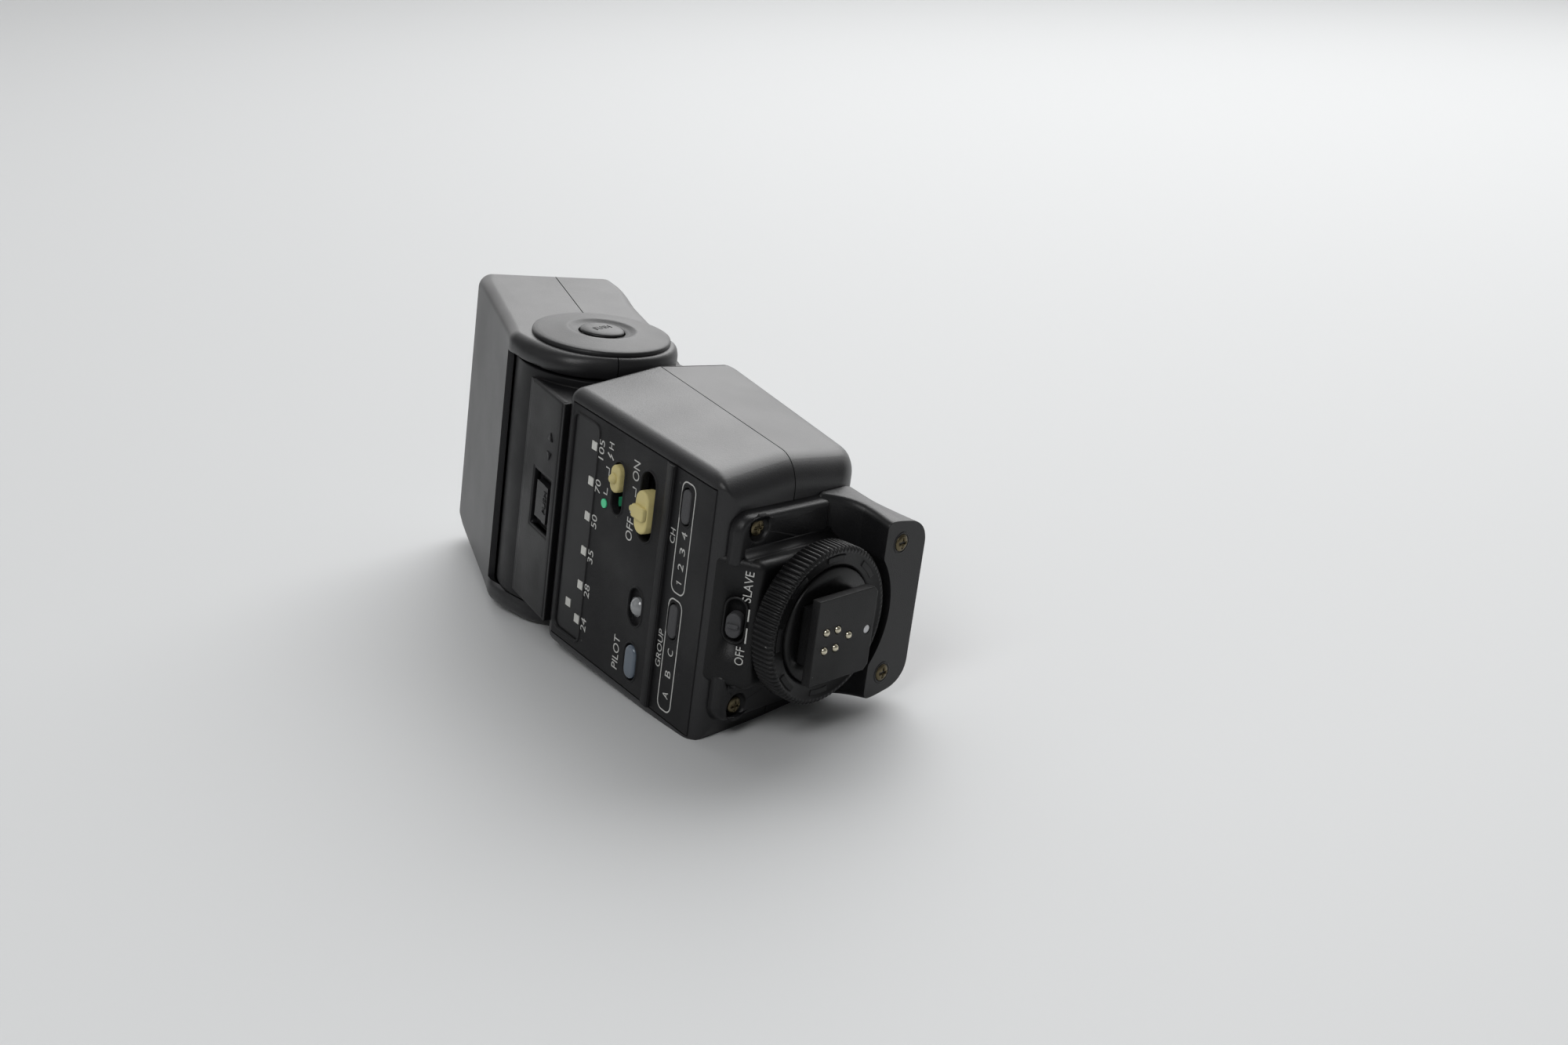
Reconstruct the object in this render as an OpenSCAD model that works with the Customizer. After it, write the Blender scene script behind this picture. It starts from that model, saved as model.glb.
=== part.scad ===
// Compact shoe-mount flash lying on its left side, in millimetres.
// +X is the way the flash faces, +Y runs from the foot to the head, and
// +Z is the flash's right-hand side, which is up as it lies.
// The origin is on the lock ring's axis, on the underside of the shoe plate.

/* [Foot] */
// Width of the shoe plate
plate_w = 18.6; // [18:0.1:19.2]
// Thickness of the shoe plate
plate_t = 2; // [1.6:0.1:2.4]
// Length of the shoe plate behind the ring's axis
plate_back = 10.1; // [9.6:0.1:11]
// Length of the shoe plate in front of the ring's axis
plate_front = 7.9; // [7.6:0.1:9]
// Width of the stem above the shoe plate
stem_w = 12.4; // [10:0.1:14]
// Height of the stem above the shoe plate
stem_h = 3.1; // [2.8:0.1:4]
// Outer radius of the lock ring
ring_r = 17.7; // [16:0.1:18.4]
// Height of the lock ring
ring_t = 6; // [5:0.1:6.6]
// Radius of the boss that the lock ring turns on
boss_r = 12.6; // [12.3:0.1:13.5]
// Number of ribs round the lock ring
ring_ribs = 60; // [40:1:72]
// Radius of a contact pin
pin_r = 0.85; // [0.7:0.05:1]
// Travel of the contact pins into the plate
pin_travel = 0.5; // [0.3:0.1:0.8]
// Radius of the lock pin
lock_pin_r = 0.9; // [0.7:0.05:1]
// Height of the body's underside above the plate's underside
deck_y = 19.3; // [18:0.1:21]
// Height of the chin's underside above the plate's underside
chin_y = 4.7; // [4:0.1:6]
// Width of the chin at its underside
chin_w = 38; // [36:0.5:40]
// Reach of the chin in front of the ring's axis
chin_reach = 27.5; // [26:0.1:29]

// Radius of the chin's front corners
chin_edge = 4; // [3:0.1:5]

/* [Body] */
// Height of the body's top above the plate's underside
body_top = 80; // [79.4:0.1:80.2]
// Width of the body along its back
body_w = 60; // [59.6:0.2:61]
// Width of the body along its front, at the top
front_w = 57.6; // [57.4:0.2:58.4]
// Widening of the body from its back to the seam, for each millimetre
back_draft = 0.074; // [0.06:0.002:0.08]
// Widening of the body from its front to the seam, for each millimetre
front_draft = 0.122; // [0.11:0.002:0.13]
// Distance from the ring's axis back to the body's lower back edge
back_depth = 20.3; // [20:0.1:22]
// Reach of the body's upper front edge in front of the ring's axis
front_reach = 45.4; // [45:0.1:47]
// Forward lean of the control panel, in degrees
panel_lean = 12.4; // [11:0.1:13]
// Forward lean of the body's front, in degrees
front_lean = 20.8; // [19:0.1:22]
// Lean of the seam between the front and rear shells, in degrees
seam_lean = 16.7; // [16:0.1:18]
// Place of that seam at the body's top, in front of the ring's axis
seam_x = 18.6; // [18:0.1:20]
// Radius of the body's edges
body_edge = 4.4; // [3.6:0.1:5]
// Radius of the edges along the body's front
front_edge = 6; // [5:0.1:7]
// Radius of the body's upper back edge
top_edge = 1.6; // [1.2:0.1:2]
// Wall of the body shells
wall = 2.2; // [1.8:0.1:2.6]

/* [Control panel] */
// Width of the control panel
panel_w = 54; // [52:0.5:55]
// Thickness of the control panel
panel_t = 1.8; // [1.4:0.1:2]
// Length of the power switch's slot
power_slot = 15.4; // [14:0.1:17]
// Length of the sync switch's slot
sync_slot = 11.6; // [10.5:0.1:12.5]
// Travel of the push buttons
button_travel = 0.6; // [0.4:0.1:0.8]
// Distance between neighbouring zoom lamps
lamp_pitch = 8.1; // [7.6:0.1:8.4]

/* [Battery] */
// Diameter of a cell
cell_d = 14.4; // [14:0.1:14.4]
// Length of a cell
cell_len = 50.5; // [49:0.1:50.6]

/* [Neck] */
// Place of the swivel axis and the tilt axis in front of the ring's axis
neck_x = 18.4; // [18:0.1:19]
// Height of the tilt axis above the plate's underside
tilt_y = 97.9; // [97.8:0.1:98.6]
// Radius of the drum round the tilt axis
drum_r = 18.8; // [18.4:0.1:19]
// Half the width of the drum
drum_half = 27.6; // [27:0.1:27.7]
// Width of the neck's pillar
pillar_w = 51.4; // [49:0.2:52]
// Radius of the tilt shaft
shaft_r = 4; // [3.5:0.1:4.5]
// Radius of the swivel hub
hub_r = 6.4; // [6:0.1:6.8]

/* [Head] */
// Tilt of the head as it is stored, in degrees above level
head_tilt = 60; // [60:15:75]
// Reach of the head in front of the tilt axis
head_reach = 53.6; // [53:0.1:56]
// Height of the head's top above the tilt axis, over that axis
head_up = 21; // [20.5:0.1:22]
// Height of the head's top above the tilt axis, at its front
head_front_up = 18.9; // [18.4:0.1:20]
// Depth of the head's underside below the tilt axis
head_down = 16.8; // [16:0.1:17]
// Width of the head at its front
head_front_w = 65.6; // [64:0.2:66]
// Width of the head over its cheeks
cheek_w = 66; // [65:0.2:67]
// Radius of the cheeks round the tilt axis
cheek_r = 17.2; // [16.6:0.1:17.3]
// Radius of the round covers on the cheeks
disc_r = 15.9; // [14:0.1:16.5]
// Height of the round covers
disc_h = 2; // [1.8:0.1:2.2]
// Radius of the tilt button
tilt_button_r = 5.1; // [4.5:0.1:5.6]
// Radius of the head's edges
head_edge = 3.4; // [3:0.1:4]
// Radius of the edges along the head's sides
side_edge = 2.4; // [2:0.1:4]

/* [Clearances] */
// Gap between pieces that move past each other
gap = 0.3; // [0.2:0.05:0.35]
// Radial gap of a running fit
run = 0.08; // [0.05:0.01:0.1]

/* [Hidden] */
$fn = 64;
big = 200;
round_steps = 5;
ring_y = plate_t + stem_h;
base_y = ring_y + ring_t + gap;
cheek_half = cheek_w / 2;
recess_half = drum_half + 0.4;
recess_r = drum_r + 0.4;
tan_panel = tan(panel_lean);
tan_front = tan(front_lean);
panel_len = (body_top - deck_y) / cos(panel_lean);

// Place of the panel's plane and of the front's plane at a height
function back_x(y) = -back_depth + (y - deck_y) * tan_panel;
function front_x(y) = front_reach - (body_top - y) * tan_front;
function seam_at(y) = seam_x - (body_top - y) * tan(seam_lean);

// Places on the panel: along it from its lower edge, and across it in step with its width
function across(z) = z / 54 * panel_w;
marks_s = 50.5;
sync_at = [39.1, across(14.6)];
power_at = [27.6, across(14.7)];
ready_at = [27.6, across(-8)];
pilot_at = [27.2, across(-20.5)];
channel_at = [13, across(20.1)];
group_at = [13, across(-5.2)];
sync_lamp_at = [43.9, across(9.5)];
window_half = panel_w / 2 - 2;
window_s = [48.6, 59.2];
panel_s = [3.4, 60.2];
board_n = 6;
flange_t = 1.1;

// Moves children to the panel: X inwards, Y up along it, Z across it
module on_panel(at = [0, 0], depth = 0) {
    translate([-back_depth, deck_y, 0])
        rotate([0, 0, -panel_lean])
            translate([depth, at[0], at[1]])
                children();
}

// Moves children to the head: X along the beam, Y towards its top
module on_head() {
    translate([neck_x, tilt_y, 0])
        rotate([0, 0, head_tilt])
            children();
}

// A cylinder that stands along X, Y or Z
module rod_x(r, x0, x1) {
    translate([x0, 0, 0])
        rotate([0, 90, 0])
            cylinder(r = r, h = x1 - x0);
}

module rod_y(r, y0, y1) {
    translate([0, y0, 0])
        rotate([-90, 0, 0])
            cylinder(r = r, h = y1 - y0);
}

module rod_z(r, z0, z1) {
    translate([0, 0, z0])
        cylinder(r = r, h = z1 - z0);
}

// A plate with round ends, long along Z and wide along Y, from x0 to x1
module stadium(len, wide, x0, x1) {
    run_half = (len - wide) / 2;
    translate([x0, -wide / 2, -run_half])
        cube([x1 - x0, wide, 2 * run_half]);
    for (side = [-1, 1])
        translate([0, 0, side * run_half])
            rod_x(wide / 2, x0, x1);
}

// A box given by its two corners
module box(low, high) {
    translate(low)
        cube(high - low);
}

// A convex outline with each edge moved inwards by d
function toward(a, b, c) = let(m = (a - b) / norm(a - b) + (c - b) / norm(c - b)) m / norm(m);
function half_turn(a, b, c) = acos((a - b) * (c - b) / norm(a - b) / norm(c - b)) / 2;
function inset(pts, d) = [for (i = [0:len(pts) - 1])
    let(a = pts[(i + len(pts) - 1) % len(pts)], b = pts[i], c = pts[(i + 1) % len(pts)])
    b + toward(a, b, c) * d / sin(half_turn(a, b, c))];

// A convex outline with a round of radius r at each corner, in short steps
function round_corner(a, b, c, r) =
    let(mid = b + toward(a, b, c) * r / sin(half_turn(a, b, c)), d = r / tan(half_turn(a, b, c)))
    let(p = b + (a - b) / norm(a - b) * d - mid, q = b + (c - b) / norm(c - b) * d - mid)
    let(from = atan2(p[1], p[0]), sweep = (atan2(q[1], q[0]) - from + 540) % 360 - 180)
    [for (i = [0:round_steps])
        let(a = from + sweep * i / round_steps)
            mid + r * [cos(a), sin(a)]];
function rounded(pts, r) = [for (i = [0:len(pts) - 1])
    each round_corner(pts[(i + len(pts) - 1) % len(pts)], pts[i], pts[(i + 1) % len(pts)],
        is_list(r) ? r[i] : r)];

// Outlines drawn out along Z, along X and along Y
module along_z(pts) {
    linear_extrude(height = big, center = true)
        polygon(pts);
}

module along_x(pts) {
    rotate([0, 90, 0])
        along_z(pts);
}

module along_y(pts) {
    rotate([-90, 0, 0])
        along_z(pts);
}

// The body's outline seen from its side, and the body with all its edges rounded
body_side = [[-back_depth, deck_y], [front_x(deck_y), deck_y], [front_reach, body_top],
    [back_x(body_top), body_top]];

module body_form() {
    half = body_w / 2;
    front_half = front_w / 2;
    widest = half + 25 * back_draft;
    intersection() {
        along_z(rounded(body_side, [body_edge, front_edge + 2, body_edge, top_edge]));
        along_x(rounded([[-widest, deck_y], [widest, deck_y], [widest, body_top], [-widest, body_top]],
            [body_edge, body_edge, top_edge + 1, top_edge + 1]));
        on_panel([panel_len / 2, 0])
            along_y(rounded([[0, -half], [90, -half - 90 * back_draft], [90, half + 90 * back_draft],
                [0, half]], body_edge));
        on_front()
            along_y(rounded([[-90, -front_half - 90 * front_draft], [0, -front_half], [0, front_half],
                [-90, front_half + 90 * front_draft]], front_edge));
    }
}

// Moves children to the middle of the body's front: X forwards, Y up along it
module on_front() {
    mid = (deck_y + body_top) / 2;
    translate([front_x(mid), mid, 0])
        rotate([0, 0, -front_lean])
            children();
}

module body_hollow() {
    linear_extrude(height = front_w - 2 * wall + 1, center = true)
        polygon(inset(body_side, wall));
}

module body_skin() {
    difference() {
        body_form();
        body_hollow();
    }
}

// All that lies behind the seam between the shells
module behind_seam(shift = 0) {
    linear_extrude(height = big, center = true)
        polygon([[-big, 0], [seam_at(0) + shift, 0], [seam_at(big) + shift, big], [-big, big]]);
}

// The door is the right-hand corner in front of the seam, hinged along the body's front
door_z = 20.6;
knuckle_r = wall / 2 - 0.06;
ear_len = 5;
ear_at = [-17, 17];

// Moves children to the door's hinge line: Y up along the front, X forwards
module on_hinge() {
    on_front()
        translate([-wall / 2, 0, door_z])
            children();
}

module door_prism(grow) {
    difference() {
        box([-big, 0, door_z - grow], [big, body_top - wall - gap + grow, big]);
        behind_seam(gap - grow);
    }
}

// Two ears of the front shell hold the pin between the door's knuckles
module ears(grow) {
    for (at = ear_at)
        on_hinge() {
            rod_y(knuckle_r + grow, at - ear_len / 2 - grow, at + ear_len / 2 + grow);
            box([-knuckle_r - grow, at - ear_len / 2 - grow, -2 * knuckle_r - 2 * gap],
                [knuckle_r + grow, at + ear_len / 2 + grow, grow > 0 ? knuckle_r + grow : 0]);
        }
}

module shell_holes() {
    translate([neck_x, 0, 0])
        rod_y(hub_r + run, body_top - 2 * wall, body_top + wall);
    on_panel()
        box([-wall, panel_s[0], -panel_w / 2], [panel_t + 0.01, panel_s[1], panel_w / 2]);
    on_panel()
        box([0, panel_s[0] + 2, 2 - panel_w / 2], [2 * wall, panel_s[1] - 3, panel_w / 2 - 2]);
}

module rear_shell() {
    color("#2b2c2e")
        difference() {
            intersection() {
                body_skin();
                behind_seam();
            }
            shell_holes();
        }
}

// The chin below the body's front, which carries the focus assist window
chin_back = 14.8;
chin_top = 31;
assist_y = [10, 27];
assist_half = 13;

module chin_form(x0, top) {
    intersection() {
        linear_extrude(height = chin_w, center = true)
            polygon([[x0, top], [x0, chin_y], [chin_reach - 2, chin_y], [chin_reach, chin_y + 2],
                [chin_reach, top - 1.5], [front_x(top), top]]);
        translate([0, top, 0])
            rotate([90, 0, 0])
                linear_extrude(height = top)
                    polygon(rounded([[-90, -chin_w / 2], [chin_reach, -chin_w / 2], [chin_reach, chin_w / 2],
                        [-90, chin_w / 2]], chin_edge));
    }
}

module ring_room() {
    rod_y(ring_r + 1, 0, base_y);
}

module front_shell() {
    color("#2b2c2e")
        difference() {
            union() {
                difference() {
                    body_skin();
                    behind_seam();
                    shell_holes();
                    door_prism(gap);
                    on_hinge()
                        box([-wall / 2 - gap, -big, -knuckle_r - gap],
                            [big, body_top - wall - cell_mid, big]);
                }
                difference() {
                    chin_form(chin_back, chin_top);
                    body_hollow();
                    ring_room();
                    screw_places()
                        rod_y(1.05, -1, 9);
                }
                ears(0);
            }
            assist_light_path();
            on_hinge()
                rod_y(0.62, -big, big);
        }
}

module assist_light_path() {
    box([chin_reach - 5.4, assist_y[0], -assist_half], [big, assist_y[1], assist_half]);
    translate([0, (assist_y[0] + assist_y[1]) / 2, 0])
        rod_x(2.6, chin_back + 2, chin_reach);
}

module assist_window() {
    color("#7a1016")
        intersection() {
            chin_form(chin_back, chin_top);
            box([chin_reach - 3.4, assist_y[0], -assist_half], [big, assist_y[1], assist_half]);
        }
}

module assist_lamp() {
    color("#c02020")
        translate([0, (assist_y[0] + assist_y[1]) / 2, 0]) {
            rod_x(2.5, chin_back + 2, chin_reach - 6.5);
            translate([chin_reach - 6.5, 0, 0])
                sphere(r = 2.5);
        }
}

module control_panel() {
    color("#232425")
        difference() {
            union() {
                on_panel()
                    box([0, panel_s[0], -panel_w / 2], [panel_t, panel_s[1], panel_w / 2]);
                on_panel([19.1, 0])
                    box([-0.9, -1, -panel_w / 2], [0.5, 1, panel_w / 2]);
            }
            on_panel()
                box([-1, window_s[0], -window_half], [1, window_s[1], window_half]);
            on_panel([marks_s, 0])
                lamp_row(0.1);
            on_panel(sync_lamp_at)
                rod_x(1.1, -1, 5);
            on_panel(sync_at)
                stadium(sync_slot, 4.2, -1, 5);
            on_panel(power_at)
                stadium(power_slot, 5.6, -1, 5);
            on_panel(ready_at)
                stadium(8.4, 5, -1, 0.9);
            on_panel(ready_at)
                rod_x(2.2, -1, 5);
            on_panel(pilot_at)
                stadium(8.4, 4.8, -1, 5);
            for (at = [channel_at, group_at])
                on_panel(at)
                    stadium(7.6 + 2 * gap, 3 + 2 * gap, -1, 5);
        }
}

module display_window() {
    color("#1b1c1e")
        difference() {
            on_panel()
                box([0.3, window_s[0], -window_half], [1, window_s[1], window_half]);
            on_panel([marks_s, 0])
                lamp_row(0.1);
        }
}

// The zoom lamps stand in a row, and the mode lamp stands above one end
module lamp_row(grow) {
    for (i = [0:5])
        translate([0, 0, across(lamp_pitch * (2.5 - i))])
            box([-1, -1 - grow, -0.95 - grow], [board_n + 1, 1 + grow, 0.95 + grow]);
    translate([0, 4.2, across(-17.9)])
        box([-1, -1 - grow, -0.95 - grow], [board_n + 1, 1 + grow, 0.95 + grow]);
}

module zoom_lamps() {
    color("#d8d8d4")
        intersection() {
            on_panel([marks_s, 0])
                lamp_row(0);
            on_panel()
                box([0.2, 0, -40], [board_n, 80, 40]);
        }
}

module sync_lamp() {
    color("#5acd96")
        on_panel(sync_lamp_at)
            rod_x(1, -0.2, board_n);
}

module ready_lamp() {
    color("#8e9296")
        on_panel(ready_at) {
            rod_x(2.1, 0.3, board_n);
            translate([0.3, 0, 0])
                rotate([0, -90, 0])
                    rotate_extrude()
                        intersection() {
                            translate([0, -1.4])
                                circle(r = 2.5);
                            square([2.1, 3]);
                        }
        }
}

// A slide switch: a knob outside, a stem in the slot and a flange under the panel
module slide_knob(len, wide, slot_wide, high) {
    stadium(len, wide, -high, -gap);
    box([-high - 0.7, -wide / 2, -0.14 * len], [-high + 0.1, wide / 2, 0.14 * len]);
    stadium(len - 1, slot_wide - 2 * gap, -gap - 0.1, panel_t + gap + 0.1);
    box([panel_t + gap, -slot_wide / 2 - 1, -len / 2],
        [panel_t + gap + flange_t, slot_wide / 2 + 1, len / 2]);
}

power_rest = -1.1;
sync_rest = 2.3;

module power_switch() {
    color("#ded08c")
        on_panel([power_at[0], power_at[1] + power_rest])
            slide_knob(9.6, 4.8, 5.6, 1.9);
}

module sync_switch() {
    color("#ded08c")
        on_panel([sync_at[0], sync_at[1] + sync_rest])
            slide_knob(6.2, 3.5, 4.2, 1.7);
}

// A push button: a cap in its hole and a wider flange behind the panel
module push_cap(len, wide, proud) {
    back = panel_t + button_travel + gap;
    stadium(len, wide, -proud, back + 0.1);
    stadium(len + 1.6, wide + 1.6, back, back + flange_t);
}

module pilot_button() {
    color("#7f8a94")
        on_panel(pilot_at)
            push_cap(8.4 - 2 * gap, 4.8 - 2 * gap, 0.5);
}

module channel_button() {
    color("#56585a")
        on_panel(channel_at)
            push_cap(7.6, 3, 0.4);
}

module group_button() {
    color("#56585a")
        on_panel(group_at)
            push_cap(7.6, 3, 0.4);
}

module battery_door() {
    color("#2d2e30")
        difference() {
            union() {
                intersection() {
                    body_skin();
                    door_prism(0);
                }
                on_hinge()
                    rod_y(knuckle_r, -27, 27);
            }
            ears(gap);
            on_hinge()
                rod_y(0.6 + run, -big, big);
        }
}

module door_hinge_pin() {
    color("silver")
        on_hinge()
            rod_y(0.6, -26, 26);
}

// Four cells lie across the body in one column that follows the lean of its front
cell_pitch = (body_top - deck_y - 2 * wall - cell_d - 0.5) / 3 / cos(front_lean);
cell_mid = (deck_y + body_top) / 2;
cell_x = front_x(cell_mid) - (wall + cell_d / 2 + 0.25) / cos(front_lean);
cell_left = -26;
tray_back = cell_d / 2 + 1.5;

module on_cells() {
    translate([cell_x, cell_mid, 0])
        rotate([0, 0, -front_lean])
            children();
}

module cell_places() {
    for (i = [-1.5, -0.5, 0.5, 1.5])
        on_cells()
            translate([0, i * cell_pitch, 0])
                children();
}

module battery_tray() {
    color("#3a3b3d")
        difference() {
            on_cells()
                box([-tray_back, -1.5 * cell_pitch - 2, cell_left - 0.9],
                    [-2, 1.5 * cell_pitch + 2, cell_left + cell_len]);
            cell_places()
                rod_z(cell_d / 2 + 0.1, cell_left, big);
            on_cells()
                box([-3.5, -big, cell_left - 2], [0, big, cell_left]);
        }
}

module battery_cells() {
    color("#b9bcc0")
        cell_places() {
            rod_z(cell_d / 2, cell_left, cell_left + cell_len - 1.4);
            rod_z(2.7, cell_left + cell_len - 1.5, cell_left + cell_len);
        }
}

module battery_contacts() {
    color("gold")
        for (i = [-1, 1])
            on_cells()
                translate([0, i * cell_pitch, cell_left])
                    box([-3.5, 1 - cell_pitch, -0.7], [4, cell_pitch - 1, -0.05]);
}

module main_board() {
    color("#2f5a3c")
        difference() {
            on_panel()
                box([board_n, 39, -window_half], [board_n + 1.6, panel_s[1] - 3.6, window_half]);
            on_panel(sync_at)
                stadium(sync_slot + 4, 4.2 + 4, -1, 20);
        }
}

cap_r = 8.2;

module main_capacitor() {
    color("#26282c")
        on_cells()
            translate([-tray_back - cap_r - 0.05, 0, 0]) {
                rod_z(cap_r, -22, 22);
                rod_z(cap_r - 1.4, -22.8, 22.8);
            }
}

// The foot base closes the body's underside and carries the ring and the plate
block_half = 14;
block_low = -14.4;
block_high = -19.4;
slave_lean = atan((block_low - block_high) / (deck_y + 3 - base_y));
chin_root = 9.1;
slave_at = [5.2, 0.8];
screw_deck = [[-12, 19.7], [-12, -19.7]];
screw_chin = [[19.4, 14.8], [19.4, -14.8]];

module screw_places() {
    for (at = screw_chin)
        translate([at[0], chin_y, at[1]])
            children();
}

// Moves children to the slanted face of the block, Y up along it
module on_block(at) {
    translate([block_low, base_y, 0])
        rotate([0, 0, slave_lean])
            translate([0, at[0], at[1]])
                children();
}

module foot_base() {
    color("#303133")
        difference() {
            union() {
                difference() {
                    linear_extrude(height = 2 * block_half, center = true)
                        polygon([[block_low, base_y], [chin_root + 3, base_y], [chin_root + 3, deck_y],
                            [-10, deck_y + body_edge], [block_high, deck_y + 3]]);
                    body_form();
                }
                rod_y(boss_r, ring_y + 0.3, base_y + 0.1);
                difference() {
                    intersection() {
                        chin_form(chin_root, deck_y);
                        linear_extrude(height = big, center = true)
                            polygon([[chin_root, deck_y], [chin_root + 4, chin_y], [chin_back, chin_y],
                                [chin_back, deck_y]]);
                    }
                    ring_room();
                }
                for (at = screw_deck)
                    translate([at[0], 0, at[1]])
                        rod_y(3.4, deck_y - 1.2, deck_y);
            }
            stem_bores();
            for (at = screw_deck)
                translate([at[0], 0, at[1]])
                    rod_y(1.05, deck_y - 4, deck_y + 1);
            on_block(slave_at)
                stadium(9.4, 4.2, -1, 1.4);
            on_block(slave_at)
                stadium(9.4 - 2, 1.4 + 2 * gap, 0, 5);
        }
}

// Bores for the pins, through the plate, its stem and the boss
pin_rows = [-6.8, -3.4];
pin_z = 2;
pin_len = 7.4;
lock_x = 6;
lock_len = 9;

module pin_places() {
    for (x = pin_rows, side = [-1, 1])
        translate([x, 0, side * pin_z])
            children();
    translate([0.3, 0, 0])
        children();
}

module stem_bores() {
    pin_places()
        rod_y(pin_r + run, -1, pin_len + pin_travel + gap);
    translate([lock_x, 0, 0])
        rod_y(lock_pin_r + run, -1, lock_len + gap);
}

module shoe_plate() {
    color("#1f2022")
        difference() {
            union() {
                rotate([-90, 0, 0])
                    linear_extrude(height = plate_t)
                        polygon([[-plate_back, plate_w / 2], [plate_front - 1.2, plate_w / 2],
                            [plate_front, plate_w / 2 - 1.2], [plate_front, 1.2 - plate_w / 2],
                            [plate_front - 1.2, -plate_w / 2], [-plate_back, -plate_w / 2]]);
                box([1.6 - plate_back, plate_t - 0.1, -stem_w / 2],
                    [plate_front - 0.4, ring_y + 0.3, stem_w / 2]);
            }
            stem_bores();
        }
}

module contact_pins() {
    color("#d9cfa6")
        pin_places() {
            rod_y(pin_r, 0.25, pin_len);
            translate([0, 0.25, 0])
                sphere(r = pin_r);
        }
}

module lock_pin() {
    color("silver")
        translate([lock_x, 0, 0])
            rod_y(lock_pin_r, 0.1, lock_len);
}

module lock_ring() {
    color("#292a2c")
        difference() {
            union() {
                rod_y(ring_r - 0.5, ring_y, ring_y + ring_t);
                for (i = [0:ring_ribs - 1])
                    rotate([0, i * 360 / ring_ribs, 0])
                        box([ring_r - 1, ring_y + 0.3, -0.45], [ring_r, ring_y + ring_t, 0.45]);
            }
            rod_y(boss_r + run, 0, 30);
        }
}

module screw_head() {
    difference() {
        rod_y(2.3, -0.9, 0);
        box([-1.6, -1, -0.3], [1.6, -0.4, 0.3]);
        box([-0.3, -1, -1.6], [0.3, -0.4, 1.6]);
    }
    rod_y(1, -0.1, 6);
}

module foot_screws() {
    color("#8a7a4a") {
        for (at = screw_deck)
            translate([at[0], deck_y - 1.2, at[1]])
                intersection() {
                    screw_head();
                    rod_y(3, -2, 1.15);
                }
        screw_places()
            screw_head();
    }
}

module slave_switch() {
    color("#4a4b4d")
        on_block([slave_at[0], slave_at[1] - 0.9]) {
            stadium(5.5, 3.4, -0.5, 1.4 - gap);
            box([1, -0.7, -1.6], [4.6, 0.7, 1.6]);
        }
}

// The neck stands on the body's top and carries the drum
neck_y = body_top + 0.4;
pillar_back = 26.1;
pillar_front = 21;
pillar_top = 0.8;
push_at = [8, 0];
push_lean = atan((pillar_back - drum_r - 0.8) / (tilt_y + pillar_top - neck_y));

module neck_form() {
    linear_extrude(height = pillar_w, center = true)
        polygon([[neck_x - pillar_back, neck_y], [neck_x - drum_r - 0.8, tilt_y + pillar_top],
            [neck_x, tilt_y + pillar_top], [neck_x + drum_r, tilt_y], [neck_x + pillar_front, neck_y]]);
    translate([neck_x, tilt_y, 0])
        rod_z(drum_r, -drum_half, drum_half);
}

// Moves children to the neck's back, as on_panel does for the panel
module on_neck(at) {
    translate([neck_x - pillar_back, neck_y, 0])
        rotate([0, 0, -push_lean])
            translate([0, at[0], at[1]])
                children();
}

module neck_core() {
    difference() {
        neck_form();
        box([-big, 0, -big], [big, neck_y, big]);
        translate([neck_x, tilt_y, 0])
            rod_z(shaft_r + 0.02, -big, big);
        translate([neck_x, 0, 0])
            rod_y(hub_r + 0.02, 0, neck_y + 6);
        translate([neck_x, tilt_y, 0])
            rod_z(drum_r - 3, 8, drum_half - 3);
    }
}

module neck_rear() {
    color("#2a2b2d")
        difference() {
            intersection() {
                neck_core();
                box([-big, 0, -big], [neck_x, big, big]);
            }
            on_neck(push_at)
                box([-1, -4.8, -6.6], [1.6, 4.8, 6.6]);
            on_neck(push_at)
                box([0, -3.6, -4.6], [5, 3.6, 4.6]);
        }
}

module neck_front() {
    color("#2a2b2d")
        intersection() {
            neck_core();
            box([neck_x, 0, -big], [big, big, big]);
        }
}

module swivel_hub() {
    color("#6d7074")
        translate([neck_x, 0, 0])
            difference() {
                union() {
                    rod_y(hub_r, body_top - wall - 0.3, neck_y + 6);
                    rod_y(hub_r - 1.4, body_top - wall - 1.5, body_top - wall);
                }
                rod_y(3, 0, big);
            }
}

module hub_washer() {
    color("silver")
        translate([neck_x, 0, 0])
            difference() {
                rod_y(hub_r + 1.8, body_top - wall - 1.4, body_top - wall - 0.4);
                rod_y(hub_r - 1.38, 0, big);
            }
}

module tilt_shaft() {
    color("silver")
        translate([neck_x, tilt_y, 0])
            rod_z(shaft_r, 2.2 - cheek_half, cheek_half - 2.2);
}

module swivel_button() {
    color("#2e2f31")
        on_neck(push_at) {
            box([0.2, gap - 3.6, gap - 4.6], [2.6, 3.6 - gap, 4.6 - gap]);
            box([0, gap - 3.6, gap - 4.6], [0.3, 2.2 - 3.6, 4.6 - gap]);
        }
}

module click_spring() {
    color("silver")
        translate([neck_x, tilt_y, 0])
            difference() {
                rod_z(drum_r - 3.1, 9, 10.2);
                rod_z(shaft_r + 0.02, 0, 30);
            }
}

// The head's outline seen from its side, and the head with its edges rounded
lobe_steps = 12;
front_low = [head_reach, 1.4 - head_down];
front_high = [head_reach, head_front_up];
cover_end = [2, head_up - 0.5];
lobe_low = [0, -cheek_r];

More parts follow.
